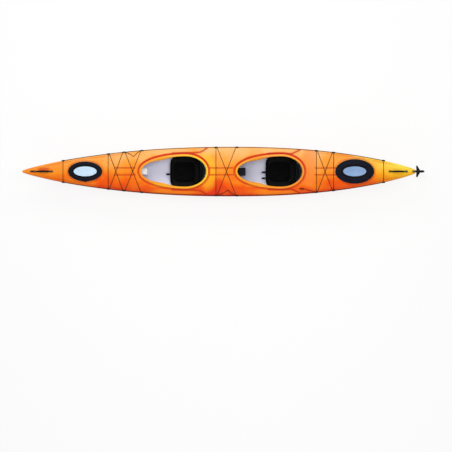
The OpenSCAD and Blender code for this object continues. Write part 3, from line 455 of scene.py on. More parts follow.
def hand_over(piece, body, slot, material, *replaced):
    """Gives a piece its finish and body, and hides the CAD nodes that it stands for.
    The slot argument is not used.
    """
    if material:
        piece.data.materials.append(material)
    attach(piece, body)
    if replaced:
        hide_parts(*replaced)
    points = [vert.co for vert in piece.data.vertices]
    low = [round(min(point[i] for point in points), 3) for i in range(3)]
    high = [round(max(point[i] for point in points), 3) for i in range(3)]
    print(piece.name, len(piece.data.polygons), "faces, from", low, "to", high)


print("loft helpers ready")

# %% [markdown]
# ## The hull
# The hull is the lower half of a hollow moulding. Each section has an outer face and an inner face
# 5 mm further in, so one closed loop goes down the outside and comes back on the inside. A slot in
# the keel lets the skeg through: its faces are deleted and the two edges that are left are bridged.
# An attribute tells the finish which points lie inside the boat.

# %% Hull
HULL_SIDE = 20
KEEL_KINKS = (-2.195, 2.461, 2.585)
END_STEPS, STATION_STEPS = 5, (22, 90, 10, 16, 8, 1)
FULL_SECTION, FINE_SECTION = 2.8, 1.4
LEAST_HALF, NEAR = 0.0005, 1e-5


def section_power(x):
    return FULL_SECTION - FINE_SECTION * (abs(x) / HALF_LENGTH) ** 3


def hull_point(x, angle, inset):
    power = 2.0 / section_power(x)
    depth = (sheer(x) - keel(x) - inset) * (hollow(x) if inset else 1.0)
    half = max(LEAST_HALF, half_beam(x) - inset)
    drop = (math.cos(angle) / math.cos(KEEL_ANGLE)) ** power
    return Vector((x, half * math.sin(angle) ** power, sheer(x) - depth * drop))


def hull_row(x, inset):
    turn = math.pi / 2 - KEEL_ANGLE
    side = [hull_point(x, math.pi / 2 - turn * i / HULL_SIDE, inset) for i in range(HULL_SIDE + 1)]
    edge = side[-1]
    side.append(Vector((x, min(SLOT_HALF, edge.y * 0.5), edge.z)))
    return side + [Vector((p.x, -p.y, p.z)) for p in reversed(side)]


def hull_stations():
    turns = span(0.0, math.pi / 2, END_STEPS)
    nose = [BOW_ROUND * (1.0 - math.cos(t)) - HALF_LENGTH for t in turns]
    tail = [HALF_LENGTH - STERN_ROUND * (1.0 - math.cos(t)) for t in reversed(turns)]
    marks = [nose[-1], KEEL_KINKS[0], *SLOT_X, *KEEL_KINKS[1:], tail[0]]
    legs = zip(marks, marks[1:], STATION_STEPS)
    middle = [x for a, b, n in legs for x in span(a, b, n)[1:-1] + [b]]
    return nose + middle + tail[1:]


def in_slot(vert):
    along = SLOT_X[0] - NEAR < vert.co.x < SLOT_X[1] + NEAR
    return along and abs(vert.co.y) < SLOT_HALF + NEAR


bm = bmesh.new()
inside = bm.verts.layers.float.new("inside")
loops = closed_loft(bm, [hull_row(x, 0.0) + hull_row(x, WALL)[::-1] for x in hull_stations()])
mark([loop[len(loop) // 2:] for loop in loops], inside, 1.0)
slot_faces = [face for face in bm.faces if all(in_slot(vert) for vert in face.verts)]
bmesh.ops.delete(bm, geom=slot_faces, context="FACES")
bmesh.ops.bridge_loops(bm, edges=[edge for edge in bm.edges if edge.is_boundary])
shade(bm)
hull = piece_from(bm, "hull")
hand_over(hull, "boat", "hull_plastic", None, "hull_shell")

# %% [markdown]
# ## The deck
# The deck closes the boat from above. It has four holes: two cockpits with a turned-over rim, and
# two hatches with a flat seat. A plain stretch of deck is a loft of sections across the boat. A
# stretch with a hole is a loft of rings instead, from the border of the stretch in to the hole, over
# its rim and back out along the underside. Moulded grooves are pressed a few millimetres into the top.

# %% Deck lines
ACROSS = 64
GROOVE_DEPTH, GROOVE_WIDTH, BENT_WIDTH = 0.0035, 0.009, 0.0135
CREASE_DEPTH, CREASE_WIDTH, CREASE_INSET = 0.0012, 0.007, 0.032
SCOOP_DEPTH, SCOOP_HALF = 0.006, (0.078, 0.040)
SCOOPS = (-2.342, 2.390)
CREASE_ENDS = ((-2.36, 0.08, -1.15, 0.1), (1.27, 0.1, 2.42, 0.08))
GROOVE_REACH = 0.03
GROOVES = [
    [(-1.39, 0.046), (-1.12, 0.046)],
    [(-0.12, 0.046), (0.19, 0.046)],
    [(1.283, 0.046), (1.56, 0.046)],
    [(-0.62, 0.243), (-0.45, 0.247), (-0.30, 0.252), (-0.25, 0.258), (-0.20, 0.285), (-0.163, 0.312)],
    [(0.66, 0.238), (0.83, 0.240), (0.93, 0.236), (0.975, 0.238), (1.02, 0.258), (1.075, 0.287)],
]
FORE_GAP = FRONT_TIP - (FRONT_HATCH + FRONT_COVER)
AFT_GAP = (REAR_HATCH - REAR_COVER) - (REAR_COCKPIT + COCKPIT_AFT)
BOW_LINE = FRONT_HATCH - FRONT_COVER - 0.068
FORE_LINE = FRONT_HATCH + FRONT_COVER + 0.15 * FORE_GAP
PEAK_LINE = FRONT_TIP - 0.45 * FORE_GAP
MID_LINE = REAR_TIP - 0.286
AFT_LINE = REAR_COCKPIT + COCKPIT_AFT + 0.43 * AFT_GAP
REAR_LINE = REAR_HATCH - REAR_COVER - 0.045 * AFT_GAP
STERN_LINE = REAR_HATCH + REAR_COVER + 0.125


def line_distance(x, y, line):
    """How far a point lies from a bent line in plan."""
    point = Vector((x, y))
    best = 1.0
    for a, b in zip(line, line[1:]):
        start = Vector(a)
        along = Vector(b) - start
        share = min(1.0, max(0.0, (point - start).dot(along) / along.length_squared))
        best = min(best, (point - start - along * share).length)
    return best


def groove(x, y):
    nearest = min(line_distance(x, abs(y), line) for line in GROOVES)
    return bell(nearest, 0.0, GROOVE_WIDTH) if nearest < GROOVE_REACH else 0.0


def groove_red_and_shade_share(x, y):
    """How strongly a point gets the grooves' dark red, partly painted shade and partly the moulding's
    deeper red. The bent ones beside the cockpits get a broader band.
    """
    red_and_shade_shares = []
    for line in GROOVES:
        width = GROOVE_WIDTH if len(line) == 2 else BENT_WIDTH
        red_and_shade_shares.append(bell(line_distance(x, abs(y), line), 0.0, width))
    return max(red_and_shade_shares)


def crease(x, y):
    """A faint line along the gunwale, near both ends of the boat."""
    ends = 0.0
    for first, fade_in, last, fade_out in CREASE_ENDS:
        ends += eased((x - first) / fade_in) * eased((last - x) / fade_out)
    return ends * bell(half_beam(x) - abs(y), CREASE_INSET, CREASE_WIDTH)


def scoop(x, y):
    """Room for the fingers under a handle."""
    near = min(math.hypot((x - place) / SCOOP_HALF[0], y / SCOOP_HALF[1]) for place in SCOOPS)
    return eased(1.25 - near)


def pressed(x, y):
    return GROOVE_DEPTH * groove(x, y) + CREASE_DEPTH * crease(x, y) + SCOOP_DEPTH * scoop(x, y)


def top_z(x, y):
    return deck_z(x, y) - pressed(x, y)


def low_z(x, y):
    return under_z(x, y) - pressed(x, y)


def across(x, inset, z_of):
    half = max(LEAST_HALF, half_beam(x) - inset)
    places = [half * math.sin(math.pi * (j / ACROSS - 0.5)) for j in range(ACROSS + 1)]
    return [Vector((x, y, z_of(x, y))) for y in places]


CROSS_PLACES = (BOW_LINE, FORE_LINE, MID_LINE, AFT_LINE, REAR_LINE, STERN_LINE)
print("deck lines cross at", [round(x, 3) for x in CROSS_PLACES])

# %% Rings round a hole
def hole_point(hole, angle, out):
    """A point at a distance out from the edge of a hole, seen in plan."""
    centre, ahead, behind, half = hole
    reach = ahead if math.cos(angle) < 0 else behind
    normal = Vector((math.cos(angle) / reach, math.sin(angle) / half)).normalized()
    return Vector((centre + reach * math.cos(angle), half * math.sin(angle))) + normal * out


def hole_angles(sides, corner):
    turns = (
        span(180 + corner, 180 - corner, ACROSS) + span(180 - corner, corner, sides)[1:-1]
        + span(corner, -corner, ACROSS) + span(-corner, corner - 180, sides)[1:-1]
    )
    return [math.radians(turn) for turn in turns]


def border(places, inset, z_of):
    """The outline of a stretch of deck, clockwise from the front port corner."""
    def edge(x, way):
        return Vector((x, way * (half_beam(x) - inset), sheer(x)))

    return (
        across(places[0], inset, z_of) + [edge(x, 1) for x in places[1:-1]]
        + across(places[-1], inset, z_of)[::-1] + [edge(x, -1) for x in places[-2:0:-1]]
    )


def ring_between(hole, angles, outline, out, share, z_of):
    ring = []
    for angle, edge in zip(angles, outline):
        place = hole_point(hole, angle, out).lerp(edge.xy, share)
        ring.append(Vector((place.x, place.y, z_of(place.x, place.y))))
    return ring


def rounded_line(points, rounds=2):
    """Cuts the corners of a bent line, so that it turns into a curve with the same ends."""
    for _ in range(rounds):
        cut = [points[0]]
        for a, b in zip(points, points[1:]):
            cut.append(a.lerp(b, 0.25))
            cut.append(a.lerp(b, 0.75))
        points = cut + [points[-1]]
    return points


print("rings ready")

# %% Rims in section
COCKPIT_RIM = [
    (0.060, 0.0), (0.038, -0.007), (0.016, -0.007), (0.012, 0.005), (0.026, 0.009),
    (0.026, 0.013), (0.021, 0.016), (0.005, 0.016), (0.0, 0.012),
]
LIP_DROP, LIP_END = -0.014, (0.008, -0.026)
BRACE_REACH, BRACE_AHEAD, BRACE_WIDTH = 0.028, 0.310, 0.130
HATCH_RIM = [
    (0.040, -0.001), (0.035, 0.0), (0.008, 0.0), (0.006, 0.010), (0.0, 0.010), (0.0, -0.014),
    (0.008, -0.020),
]
COCKPIT_OUT, HATCH_OUT = 0.060, 0.046


def cockpit_rings(hole, angles):
    """The rings over a cockpit rim, from the groove outside it to the lip under the deck."""
    columns = []
    for angle in angles:
        edge_x = hole_point(hole, angle, 0.0).x
        brace = BRACE_REACH * bell(edge_x, hole[0] - BRACE_AHEAD, BRACE_WIDTH)
        line = [Vector(point) for point in COCKPIT_RIM + [(-brace, LIP_DROP), LIP_END]]
        column = []
        for out, lift in rounded_line(line):
            place = hole_point(hole, angle, out)
            column.append(Vector((place.x, place.y, top_z(place.x, place.y) + lift)))
        columns.append(column)
    return [list(ring) for ring in zip(*columns)]


def hatch_rings(hole, angles):
    """The rings over a hatch seat, which is flat."""
    seat = hatch_seat(hole[0])
    middle = [Vector((0.0, 0.0, 0.0))] * len(angles)
    rings = [ring_between(hole, angles, middle, HATCH_OUT, 0.0, deck_z)]
    for out, lift in HATCH_RIM:
        places = [hole_point(hole, angle, out) for angle in angles]
        rings.append([Vector((place.x, place.y, seat + lift)) for place in places])
    return rings


print("rim of", len(rounded_line([Vector(p) for p in COCKPIT_RIM])), "rings")

# %% Deck panels
SUNK, UNDER_STEPS, UNDER_INSET = 0.004, 8, 0.002
COCKPIT_CORNER, HATCH_CORNER, COCKPIT_STEPS = 40, 45, 26
STATION_GAP, WELD = 0.01, 0.00002


def plain_panel(bm, places):
    return loft(bm, [across(x, 0.0, top_z) + across(x, WALL, low_z)[::-1] for x in places])


def sunk_z(x, y):
    return under_z(x, y) - SUNK


def holed_panel(bm, places, hole, corner, rims, out, steps):
    """A stretch of deck with a hole: rings from its border to the rim and back underneath."""
    sides = len(places) - 1
    angles = hole_angles(sides, corner)
    top = border(places, 0.0, top_z)
    low = border(places, WALL, low_z)
    outer = [ring_between(hole, angles, top, out, 1.0 - i / steps, top_z) for i in range(1, steps)]
    shares = [i / UNDER_STEPS for i in range(UNDER_STEPS)]
    inner = [ring_between(hole, angles, low, out - UNDER_INSET, share, sunk_z) for share in shares]
    rim_rows = rims(hole, angles)
    loops = loft(bm, [top] + outer + rim_rows + inner + [low])
    for first in (ACROSS, 2 * ACROSS + sides):
        chain = range(first, first + sides)
        edges = []
        for loop in (loops[0], loops[-1]):
            edges += [bm.edges.get((loop[c], loop[(c + 1) % len(loop)])) for c in chain]
        bmesh.ops.bridge_loops(bm, edges=edges)
    return loops, 1 + len(outer), 1 + len(outer) + len(rim_rows)


def cockpit_panel(bm, places, x):
    hole = (x, COCKPIT_FORE, COCKPIT_AFT, COCKPIT_HALF)
    return holed_panel(
        bm, places, hole, COCKPIT_CORNER, cockpit_rings, COCKPIT_OUT, COCKPIT_STEPS
    )


def hatch_panel(bm, places, x, half, steps):
    hole = (x, half[0], half[0], half[1])
    return holed_panel(bm, places, hole, HATCH_CORNER, hatch_rings, HATCH_OUT, steps)


print("panels ready")

# %% Deck
# The trough, gunwale and groove marks below carry painted shade into the deck's colour.
TROUGH_RINGS, TROUGH_SHADE_FADE, HATCH_TROUGH_SHADE, LIP_RINGS = 12, 4.0, 0.6, 4
CREASE_RED_AND_SHADE, GUNWALE_SHADE_FROM, GUNWALE_SHADE_FADE = 0.35, 0.90, 0.09

bm = bmesh.new()
layers = ("groove", "rim", "painted_trough_shade", "inside", "gunwale")
groove_red_and_shade, rimmed, painted_trough_shade, below, gunwale = [bm.verts.layers.float.new(name) for name in layers]
ends = hull_stations()
bow_loops = plain_panel(bm, [x for x in ends if x < BOW_LINE - STATION_GAP] + [BOW_LINE])
stern_loops = plain_panel(bm, [STERN_LINE] + [x for x in ends if x > STERN_LINE + STATION_GAP])
plain_loops = bow_loops + stern_loops
plain_loops += plain_panel(bm, span(FORE_LINE, PEAK_LINE, 26))
plain_loops += plain_panel(bm, span(AFT_LINE, REAR_LINE, 28))
mark([loop[ACROSS + 1:] for loop in plain_loops], below, 1.0)
cap(bm, bow_loops[0], stern_loops[-1])
cockpits = [
    cockpit_panel(bm, span(PEAK_LINE, MID_LINE, 80), FRONT_COCKPIT),
    cockpit_panel(bm, span(MID_LINE, AFT_LINE, 84), REAR_COCKPIT),
]
hatches = [
    hatch_panel(bm, span(BOW_LINE, FORE_LINE, 40), FRONT_HATCH, FRONT_OPENING, 12),
    hatch_panel(bm, span(REAR_LINE, STERN_LINE, 44), REAR_HATCH, REAR_OPENING, 14),
]
for loops, rim_start, rim_end in cockpits:
    mark(loops[rim_end:], below, 1.0)
    # Painted shade in the trough outside each cockpit rim, fading in over the first rings.
    for step, loop in enumerate(loops[rim_start:rim_start + TROUGH_RINGS]):
        mark([loop], painted_trough_shade, eased(step / TROUGH_SHADE_FADE))
    mark(loops[rim_start + TROUGH_RINGS:rim_end - LIP_RINGS], rimmed, 1.0)
for loops, rim_start, rim_end in hatches:
    mark(loops[rim_end:], below, 1.0)
    # Painted shade on the first rings round each hatch seat.
    mark(loops[rim_start:rim_start + 2], painted_trough_shade, HATCH_TROUGH_SHADE)
bmesh.ops.remove_doubles(bm, verts=bm.verts, dist=WELD)
for vert in bm.verts:
    x, y = vert.co.x, vert.co.y
    # Dark red in the grooves and the crease: partly painted shade, partly the moulding's own deeper
    # red.
    red_and_shade = max(groove_red_and_shade_share(x, y), CREASE_RED_AND_SHADE * crease(x, y))
    vert[groove_red_and_shade] = red_and_shade * (1.0 - vert[below]) * (1.0 - vert[rimmed])
    vert[gunwale] = eased((-y / half_beam(x) - GUNWALE_SHADE_FROM) / GUNWALE_SHADE_FADE)
shade(bm)
deck = piece_from(bm, "deck")
hand_over(deck, "boat", "deck_plastic", None, "deck_shell")

# %% [markdown]
# ## Finishes of the moulding
# The boat is moulded from coloured powder that melts together in a turning mould, so one colour runs
# into the next: red at the bow of the hull, orange along the deck, yellow at the stern. The finish
# mixes a few colours by the place along and across the boat and blurs the borders with noise. Part
# of the colour is painted light: the deck is paler on the +Y side, where the lamps fall, and redder on
# the -Y side; painted shade darkens the grooves, the rim troughs, the -Y gunwale, the +Y thigh brace,
# the finger scoop at the bow and the hull towards its keel; a painted highlight lightens the -Y brace.
# The skin has a fine orange-peel bump and a satin gloss.

# %% Moulded plastic
RED, YELLOW = tone(206, 42, 14), tone(252, 196, 36)
PALE_INSIDE = tone(238, 239, 255)
PATCH_BLUR = 0.25


def moulded(name):
    """Starts a finish with the skin of a rotation moulding."""
    finish = Finish(name, gloss=0.16)
    gloss = finish.noise(9.0, detail=4.0)
    finish.rough(finish.scaled(gloss, 0.3, 0.7, 0.30, 0.44))
    finish.bump(finish.noise(420.0, detail=2.0), 0.10, 0.0008)
    return finish


def patch(finish, centre, reach, power):
    """A soft-edged patch round a place on the boat, from 0 to its power."""
    shift = [-c / r for c, r in zip(centre, reach)]
    away = finish.place([1.0 / r for r in reach], shift)
    length = finish.add("ShaderNodeVectorMath", "Value", {0: away}, operation="LENGTH")
    edge = finish.math("ADD", length, finish.wander(PATCH_BLUR, 3.2, 4.0, 0.6))
    return finish.scaled(edge, 1.2, 0.55, 0.0, power, smooth=True)


def patched(finish, colour, patches):
    for centre, reach, power, paint in patches:
        colour = finish.mix(patch(finish, centre, reach, power), colour, paint)
    return colour


print("moulded plastic ready")

# %% Deck finish
# Across the deck the colour is partly the moulding's own blend and partly painted light: pale peach on
# the +Y side, where the lamps fall, and deeper red in painted shade on the -Y side. The stern's yellow
# pales towards +Y in the same way.
DECK_SIDE_BLEND_AND_LIGHT = [
    (0.0, tone(224, 52, 4)), (0.22, tone(240, 92, 6)), (0.48, tone(246, 138, 24)),
    (0.72, tone(247, 158, 60)), (1.0, tone(248, 184, 112)),
]
DECK_TAIL_BLEND_AND_LIGHT = [(0.0, tone(238, 156, 18)), (0.45, tone(250, 192, 34)), (1.0, tone(255, 234, 84))]
DECK_RIMS = [
    (0.0, tone(246, 150, 34)), (0.34, tone(252, 204, 48)), (0.44, tone(252, 204, 48)),
    (0.62, tone(247, 158, 44)),
]
DECK_PATCHES = [
    ((-0.06, -0.23, 0.28), (0.16, 0.13, 0.3), 0.7, tone(228, 52, 12)),
    ((-0.16, 0.0, 0.28), (0.13, 0.24, 0.3), 0.55, YELLOW),
    ((1.20, 0.1, 0.28), (0.12, 0.3, 0.3), 0.55, tone(246, 128, 58)),
    # Painted shade: a red patch on the wall of the finger scoop under the bow handle.
    ((-2.34, 0.03, 0.3), (0.10, 0.035, 0.3), 0.7, tone(222, 62, 16)),
    ((-0.58, -0.27, 0.24), (0.36, 0.06, 0.2), 0.75, tone(244, 136, 20)),
    ((0.74, -0.27, 0.24), (0.36, 0.06, 0.2), 0.75, tone(244, 136, 20)),
]
# Painted light on the thigh braces: red-orange painted shade on the +Y brace, which faces away from
# the lamps, and a yellow painted highlight on the -Y brace, which faces them.
for x in (FRONT_COCKPIT - 0.30, REAR_COCKPIT - 0.30):
    for way, paint in ((1, tone(228, 84, 26)), (-1, tone(252, 190, 40))):
        DECK_PATCHES.append(((x, way * 0.182, 0.27), (0.17, 0.032, 0.2), 0.6, paint))

deck_finish = moulded("moulded_deck")
aft, aside = deck_finish.axis("X"), deck_finish.axis("Y")
sway = deck_finish.wander(0.16, 2.6, 5.0, 0.8)
# Painted light across the deck: paler towards +Y and redder towards -Y, mixed with the moulding's own
# colours.
side_blend_and_light_share = deck_finish.scaled(deck_finish.math("ADD", aside, sway), -0.34, 0.34)
colour = deck_finish.ramp(side_blend_and_light_share, DECK_SIDE_BLEND_AND_LIGHT)
tail_share = deck_finish.math("ADD", aft, deck_finish.math("MULTIPLY", sway, 1.4))
tail_share = deck_finish.scaled(tail_share, 1.70, 2.40, smooth=True)
tail = deck_finish.ramp(deck_finish.scaled(aside, -0.10, 0.08), DECK_TAIL_BLEND_AND_LIGHT)
colour = deck_finish.mix(tail_share, colour, tail)
colour = patched(deck_finish, colour, DECK_PATCHES)
# Painted shade: dark red along the -Y gunwale, the side away from the lamps, weaker towards the stern.
gunwale_shade_share = deck_finish.scaled(aft, 1.6, 2.4, 0.75, 0.3)
colour = deck_finish.stain("gunwale", gunwale_shade_share, colour, tone(166, 26, 6))
# Painted shade in the rim troughs: stronger on the +Y side, where the trough's outer wall faces away
# from the lamps.
depth = deck_finish.scaled(aside, -0.12, 0.12, 0.65, 1.0)
colour = deck_finish.stain("painted_trough_shade", depth, colour, tone(208, 56, 12))
rim_colour = deck_finish.ramp(deck_finish.scaled(aft, -1.0, 1.2), DECK_RIMS)
colour = deck_finish.stain("rim", 0.8, colour, rim_colour)
# Grooves: partly painted shade, partly the moulding's deeper red.
colour = deck_finish.stain("groove", 0.95, colour, tone(192, 42, 8))
deck_finish.colour(deck_finish.stain("inside", 1.0, colour, PALE_INSIDE))
deck.data.materials.append(deck_finish.material)
print("deck finish with", len(deck_finish.tree.nodes), "nodes")

# %% Hull finish
HULL_COLOURS = [
    (0.0, RED), (0.22, tone(212, 58, 14)), (0.36, tone(226, 82, 14)), (0.45, tone(212, 48, 14)),
    (0.62, tone(220, 66, 14)), (0.78, tone(224, 88, 16)), (0.87, tone(228, 110, 18)),
    (0.93, tone(243, 176, 26)),
]
HULL_PATCHES = [
    ((-0.92, 0.0, 0.14), (0.34, 1.2, 0.10), 0.75, tone(232, 132, 24)),
    ((-1.45, 0.0, 0.17), (0.25, 1.2, 0.06), 0.4, tone(230, 112, 22)),
    ((-0.30, 0.0, 0.12), (0.34, 1.2, 0.16), 0.55, tone(204, 32, 14)),
    ((1.08, 0.0, 0.12), (0.17, 1.2, 0.20), 0.8, tone(212, 26, 18)),
    ((0.55, 0.0, 0.10), (0.20, 1.2, 0.10), 0.35, tone(228, 104, 20)),
]

hull_finish = moulded("moulded_hull")
sway = hull_finish.wander(0.3, 2.2, 5.0, 1.0, (1.0, 1.0, 2.0))
along = hull_finish.math("ADD", hull_finish.axis("X"), sway)
colour = hull_finish.ramp(hull_finish.scaled(along, -2.7, 2.7), HULL_COLOURS)
colour = patched(hull_finish, colour, HULL_PATCHES)
# Painted shade: the hull darkens towards the keel, underneath, where the light does not reach.
keel_shade_share = hull_finish.scaled(hull_finish.axis("Z"), 0.06, 0.0, 0.0, 0.45, smooth=True)
colour = hull_finish.mix(keel_shade_share, colour, tone(150, 30, 12))
hull_finish.colour(hull_finish.stain("inside", 1.0, colour, PALE_INSIDE))
hull.data.materials.append(hull_finish.material)
print("hull finish with", len(hull_finish.tree.nodes), "nodes")

# %% [markdown]
# ## Finishes of the fittings
# The other pieces are black plastic, foam, cloth, cord, rubber, aluminium and steel. Each finish has
# grain at its own scale: pores in the foam, a fine mould texture on the plastic, brush marks on the
# metal. They read Object coordinates, so no unwrapping is needed.

# %% Plain finishes
def grained(name, dark, light, roughness, scale, bump, metallic=0.0, stretch=EVEN):
    """Two close colours and a bump, from a fine and a coarse noise."""
    finish = Finish(name, metallic=metallic, gloss=0.5 if metallic else 0.16)
    grain = finish.noise(scale, detail=4.0, stretch=stretch)
    wear = finish.noise(scale * 0.04, detail=3.0, stretch=stretch)
    share = finish.scaled(finish.math("ADD", grain, wear), 0.8, 1.25)
    finish.colour(finish.mix(share, dark, light))
    finish.rough(finish.scaled(wear, 0.3, 0.7, roughness - 0.07, roughness + 0.07))
    finish.bump(grain, *bump)
    return finish.material


def foamed(name, dark, light):
    """Closed-cell foam: small pores and a dusty surface."""
    finish = Finish(name)
    pores = finish.scaled(finish.cells(320.0), 0.0, 0.5)
    blotch = finish.noise(14.0, detail=4.0)
    share = finish.scaled(finish.math("ADD", pores, blotch), 0.5, 1.4)
    finish.colour(finish.mix(share, dark, light))
    finish.rough(finish.scaled(blotch, 0.3, 0.7, 0.8, 0.95))
    finish.bump(pores, 0.35, 0.0010)
    return finish.material


black_plastic = grained(
    "black_plastic", tone(5, 5, 6), tone(14, 14, 16), 0.50, 700.0, (0.16, 0.0004)
)
fin_plastic = grained(
    "fin_plastic", tone(12, 13, 14), tone(28, 29, 31), 0.40, 500.0, (0.10, 0.0004)
)
fin_metal = grained("fin_metal", tone(12, 12, 13), tone(27, 27, 29), 0.42, 600.0, (0.10, 0.0003))
handle_rubber = grained(
    "handle_rubber", tone(12, 12, 13), tone(28, 27, 26), 0.62, 900.0, (0.22, 0.0004)
)
rail_metal = grained(
    "rail_metal", tone(150, 153, 158), tone(196, 198, 202), 0.36, 260.0, (0.10, 0.0002),
    metallic=0.9, stretch=(0.05, 1.0, 1.0)
)
steel = grained(
    "steel", tone(150, 150, 152), tone(205, 205, 206), 0.28, 900.0, (0.08, 0.0001), metallic=1.0
)
grey_foam = foamed("grey_foam", tone(62, 63, 66), tone(98, 99, 102))
white_foam = foamed("white_foam", tone(226, 226, 230), tone(246, 246, 248))
black_foam = foamed("black_foam", tone(10, 10, 14), tone(27, 27, 34))
pale_plate = grained(
    "pale_hatch_plate", tone(190, 214, 236), tone(206, 228, 246), 0.34, 300.0, (0.05, 0.0003)
)
blue_plate = grained(
    "blue_hatch_plate", tone(126, 156, 198), tone(144, 172, 208), 0.34, 300.0, (0.05, 0.0003)
)
print("plain finishes ready")

# %% Hatch rubber
rubber = Finish("hatch_rubber", gloss=0.16)
grain = rubber.noise(600.0, detail=4.0)
bloom = rubber.noise(24.0)
rubber_share = rubber.scaled(rubber.math("ADD", grain, bloom), 0.8, 1.25)
outer_rubber = rubber.mix(rubber_share, tone(7, 9, 22), tone(17, 20, 36))
inner_rubber = rubber.mix(rubber_share, tone(2, 2, 6), tone(8, 8, 13))
rubber.colour(rubber.stain("moat", 1.0, outer_rubber, inner_rubber))
rubber.rough(rubber.scaled(bloom, 0.3, 0.7, 0.53, 0.67))
rubber.bump(grain, 0.20, 0.0004)
print("hatch rubber ready")

# %% Dress the CAD nodes
def dress(material, *names):
    for name in names:
        thing = nodes[name]
        thing.data.materials.clear()
        thing.data.materials.append(material)


for end in ("front", "rear"):
    dress(grey_foam, end + "_seat_runners")
    dress(black_plastic, end + "_seat_ears", end + "_backrest_shell")
    dress(steel, end + "_backrest_pins")
for side in ("left", "right"):
    dress(black_plastic, "front_foot_rest_" + side, "rudder_pedal_" + side)
dress(grey_foam, "bow_bulkhead", "stern_bulkhead")
dress(white_foam, "front_pillar")
dress(black_foam, "mid_pillar")
dress(black_plastic, "deck_fittings", "lift_cleat", "skeg_case")
dress(steel, "fitting_screws", "handle_screws", "bracket_screws")
dress(steel, "rudder_pin", "rudder_blade_pin", "skeg_pin")
dress(rail_metal, "front_rails", "pedal_rails")
dress(handle_rubber, "bow_handle", "stern_handle")
dress(fin_metal, "rudder_bracket", "rudder_yoke")
dress(fin_plastic, "rudder_blade", "skeg_blade")
print("CAD nodes dressed")

# %% [markdown]
# ## Deck lines and bungees
# The deck lines are braided cord, 6.6 mm thick. They run from fitting to fitting along the gunwale,
# straight across the deck, and in crossed pairs where gear is stowed. Each route is worked out on
# the deck's surface, a little above it, and a small circle is lofted along it. The second cord of a
# crossed pair hops over the first.

# %% Cord routes
CORD_RADIUS, CORD_LIFT, CORD_SIDES = 0.0033, 0.0036, 10
FITTING_RADIUS, FITTING_SHARE = 0.014, 0.6
FITTING_END, CORD_SHIFT, DIP_SHIFT = 0.017, 0.014, 0.020
EDGE_ANGLE, TURN_STEP = math.radians(75.0), math.radians(8.0)
PLACE_STEP, SHARE_STEP = 0.001, 0.004
EDGE_STEP, CROSS_STEPS, DIP_STEPS = 0.03, 64, 14
HOP, HOP_WIDTH, SLACK = 0.0064, math.radians(14.0), 0.055
PEAK_END, MID_END = PEAK_LINE + 0.24, MID_LINE + 0.28
FITTINGS = [
    BOW_LINE, FORE_LINE, PEAK_LINE, PEAK_END, MID_LINE, MID_END, AFT_LINE, REAR_LINE, STERN_LINE
]


def deck_point(x, share):
    return Vector((x, half_beam(x) * share, deck_z(x, half_beam(x) * share)))


def on_deck(x, share, lift):
    """A point at a height over the deck, at a share of the half beam."""
    along = deck_point(x + PLACE_STEP, share) - deck_point(x - PLACE_STEP, share)
    across_deck = deck_point(x, share + SHARE_STEP) - deck_point(x, share - SHARE_STEP)
    return deck_point(x, share) + along.cross(across_deck).normalized() * lift


def fitting_step(x):
    """The turn of the section that a cord starts at, so that it ends inside its fitting."""
    near, far = (on_deck(x, math.sin(EDGE_ANGLE - turn), 0.0) for turn in (0.0, TURN_STEP))
    return TURN_STEP * FITTING_RADIUS * FITTING_SHARE / (near - far).length


def along_edge(a, b, way):
    places = span(a + FITTING_END, b - FITTING_END, max(6, round((b - a) / EDGE_STEP)))
    return [on_deck(x, way * math.sin(EDGE_ANGLE), CORD_LIFT) for x in places]


def over_deck(a, b, way, hop=0.0):
    top = math.sin(EDGE_ANGLE)
    route = []
    for turn in span(EDGE_ANGLE - fitting_step(a), fitting_step(b) - EDGE_ANGLE, CROSS_STEPS):
        share = (top - math.sin(turn)) / (2.0 * top)
        lift = CORD_LIFT + hop * bell(turn, 0.0, HOP_WIDTH)
        route.append(on_deck(a + (b - a) * share, way * math.sin(turn), lift))
    return route


def crossed(a, b):
    a, b = a + CORD_SHIFT, b - CORD_SHIFT
    return [over_deck(a, b, 1), over_deck(a, b, -1, HOP)]


def dipped(a, b, way, x, y):
    """A slack cord that dips in from the edge to a point and goes back."""
    deep = math.asin(y / half_beam(x))
    route = []
    for first, start in ((True, a), (False, b)):
        edge = EDGE_ANGLE - fitting_step(start)
        end = a + DIP_SHIFT if first else b - DIP_SHIFT
        leg = []
        for share in span(0.0, 1.0, DIP_STEPS):
            soft = share - SLACK * math.sin(math.pi * share)
            turn = edge + (deep - edge) * soft
            leg.append(on_deck(end + (x - end) * share, way * math.sin(turn), CORD_LIFT))
        route += leg if first else leg[-2::-1]
    return route


print("routes of", len(over_deck(FORE_LINE, FORE_LINE, 1)), "points")

# %% Cords
FORE_DIP, MID_DIP = (PEAK_LINE + 0.13, 0.19), (MID_LINE + 0.158, 0.245)
CLEAT_X, CLEAT_Y = AFT_LINE - 0.195, -0.231
CLEAT_LEAD, LINE_STOP = 0.022, 0.030
UP = Vector((0.0, 0.0, 1.0))


def tube(bm, route):
    """A round cord along a route, closed at both ends."""
    sections = []
    for number, point in enumerate(route):
        ahead = route[min(number + 1, len(route) - 1)] - route[max(number - 1, 0)]
        level = UP.cross(ahead).normalized()
        up = ahead.cross(level).normalized()
        turns = [2.0 * math.pi * k / CORD_SIDES for k in range(CORD_SIDES)]
        spokes = [math.cos(t) * level + math.sin(t) * up for t in turns]
        sections.append([point + CORD_RADIUS * spoke for spoke in spokes])
    closed_loft(bm, sections)


cord_finish = Finish("braided_cord", roughness=0.72)
fleck = cord_finish.scaled(cord_finish.cells(620.0), 0.15, 0.6)
cord_finish.colour(cord_finish.mix(fleck, tone(50, 19, 12), tone(20, 9, 8)))
cord_finish.bump(fleck, 0.5, 0.0006)


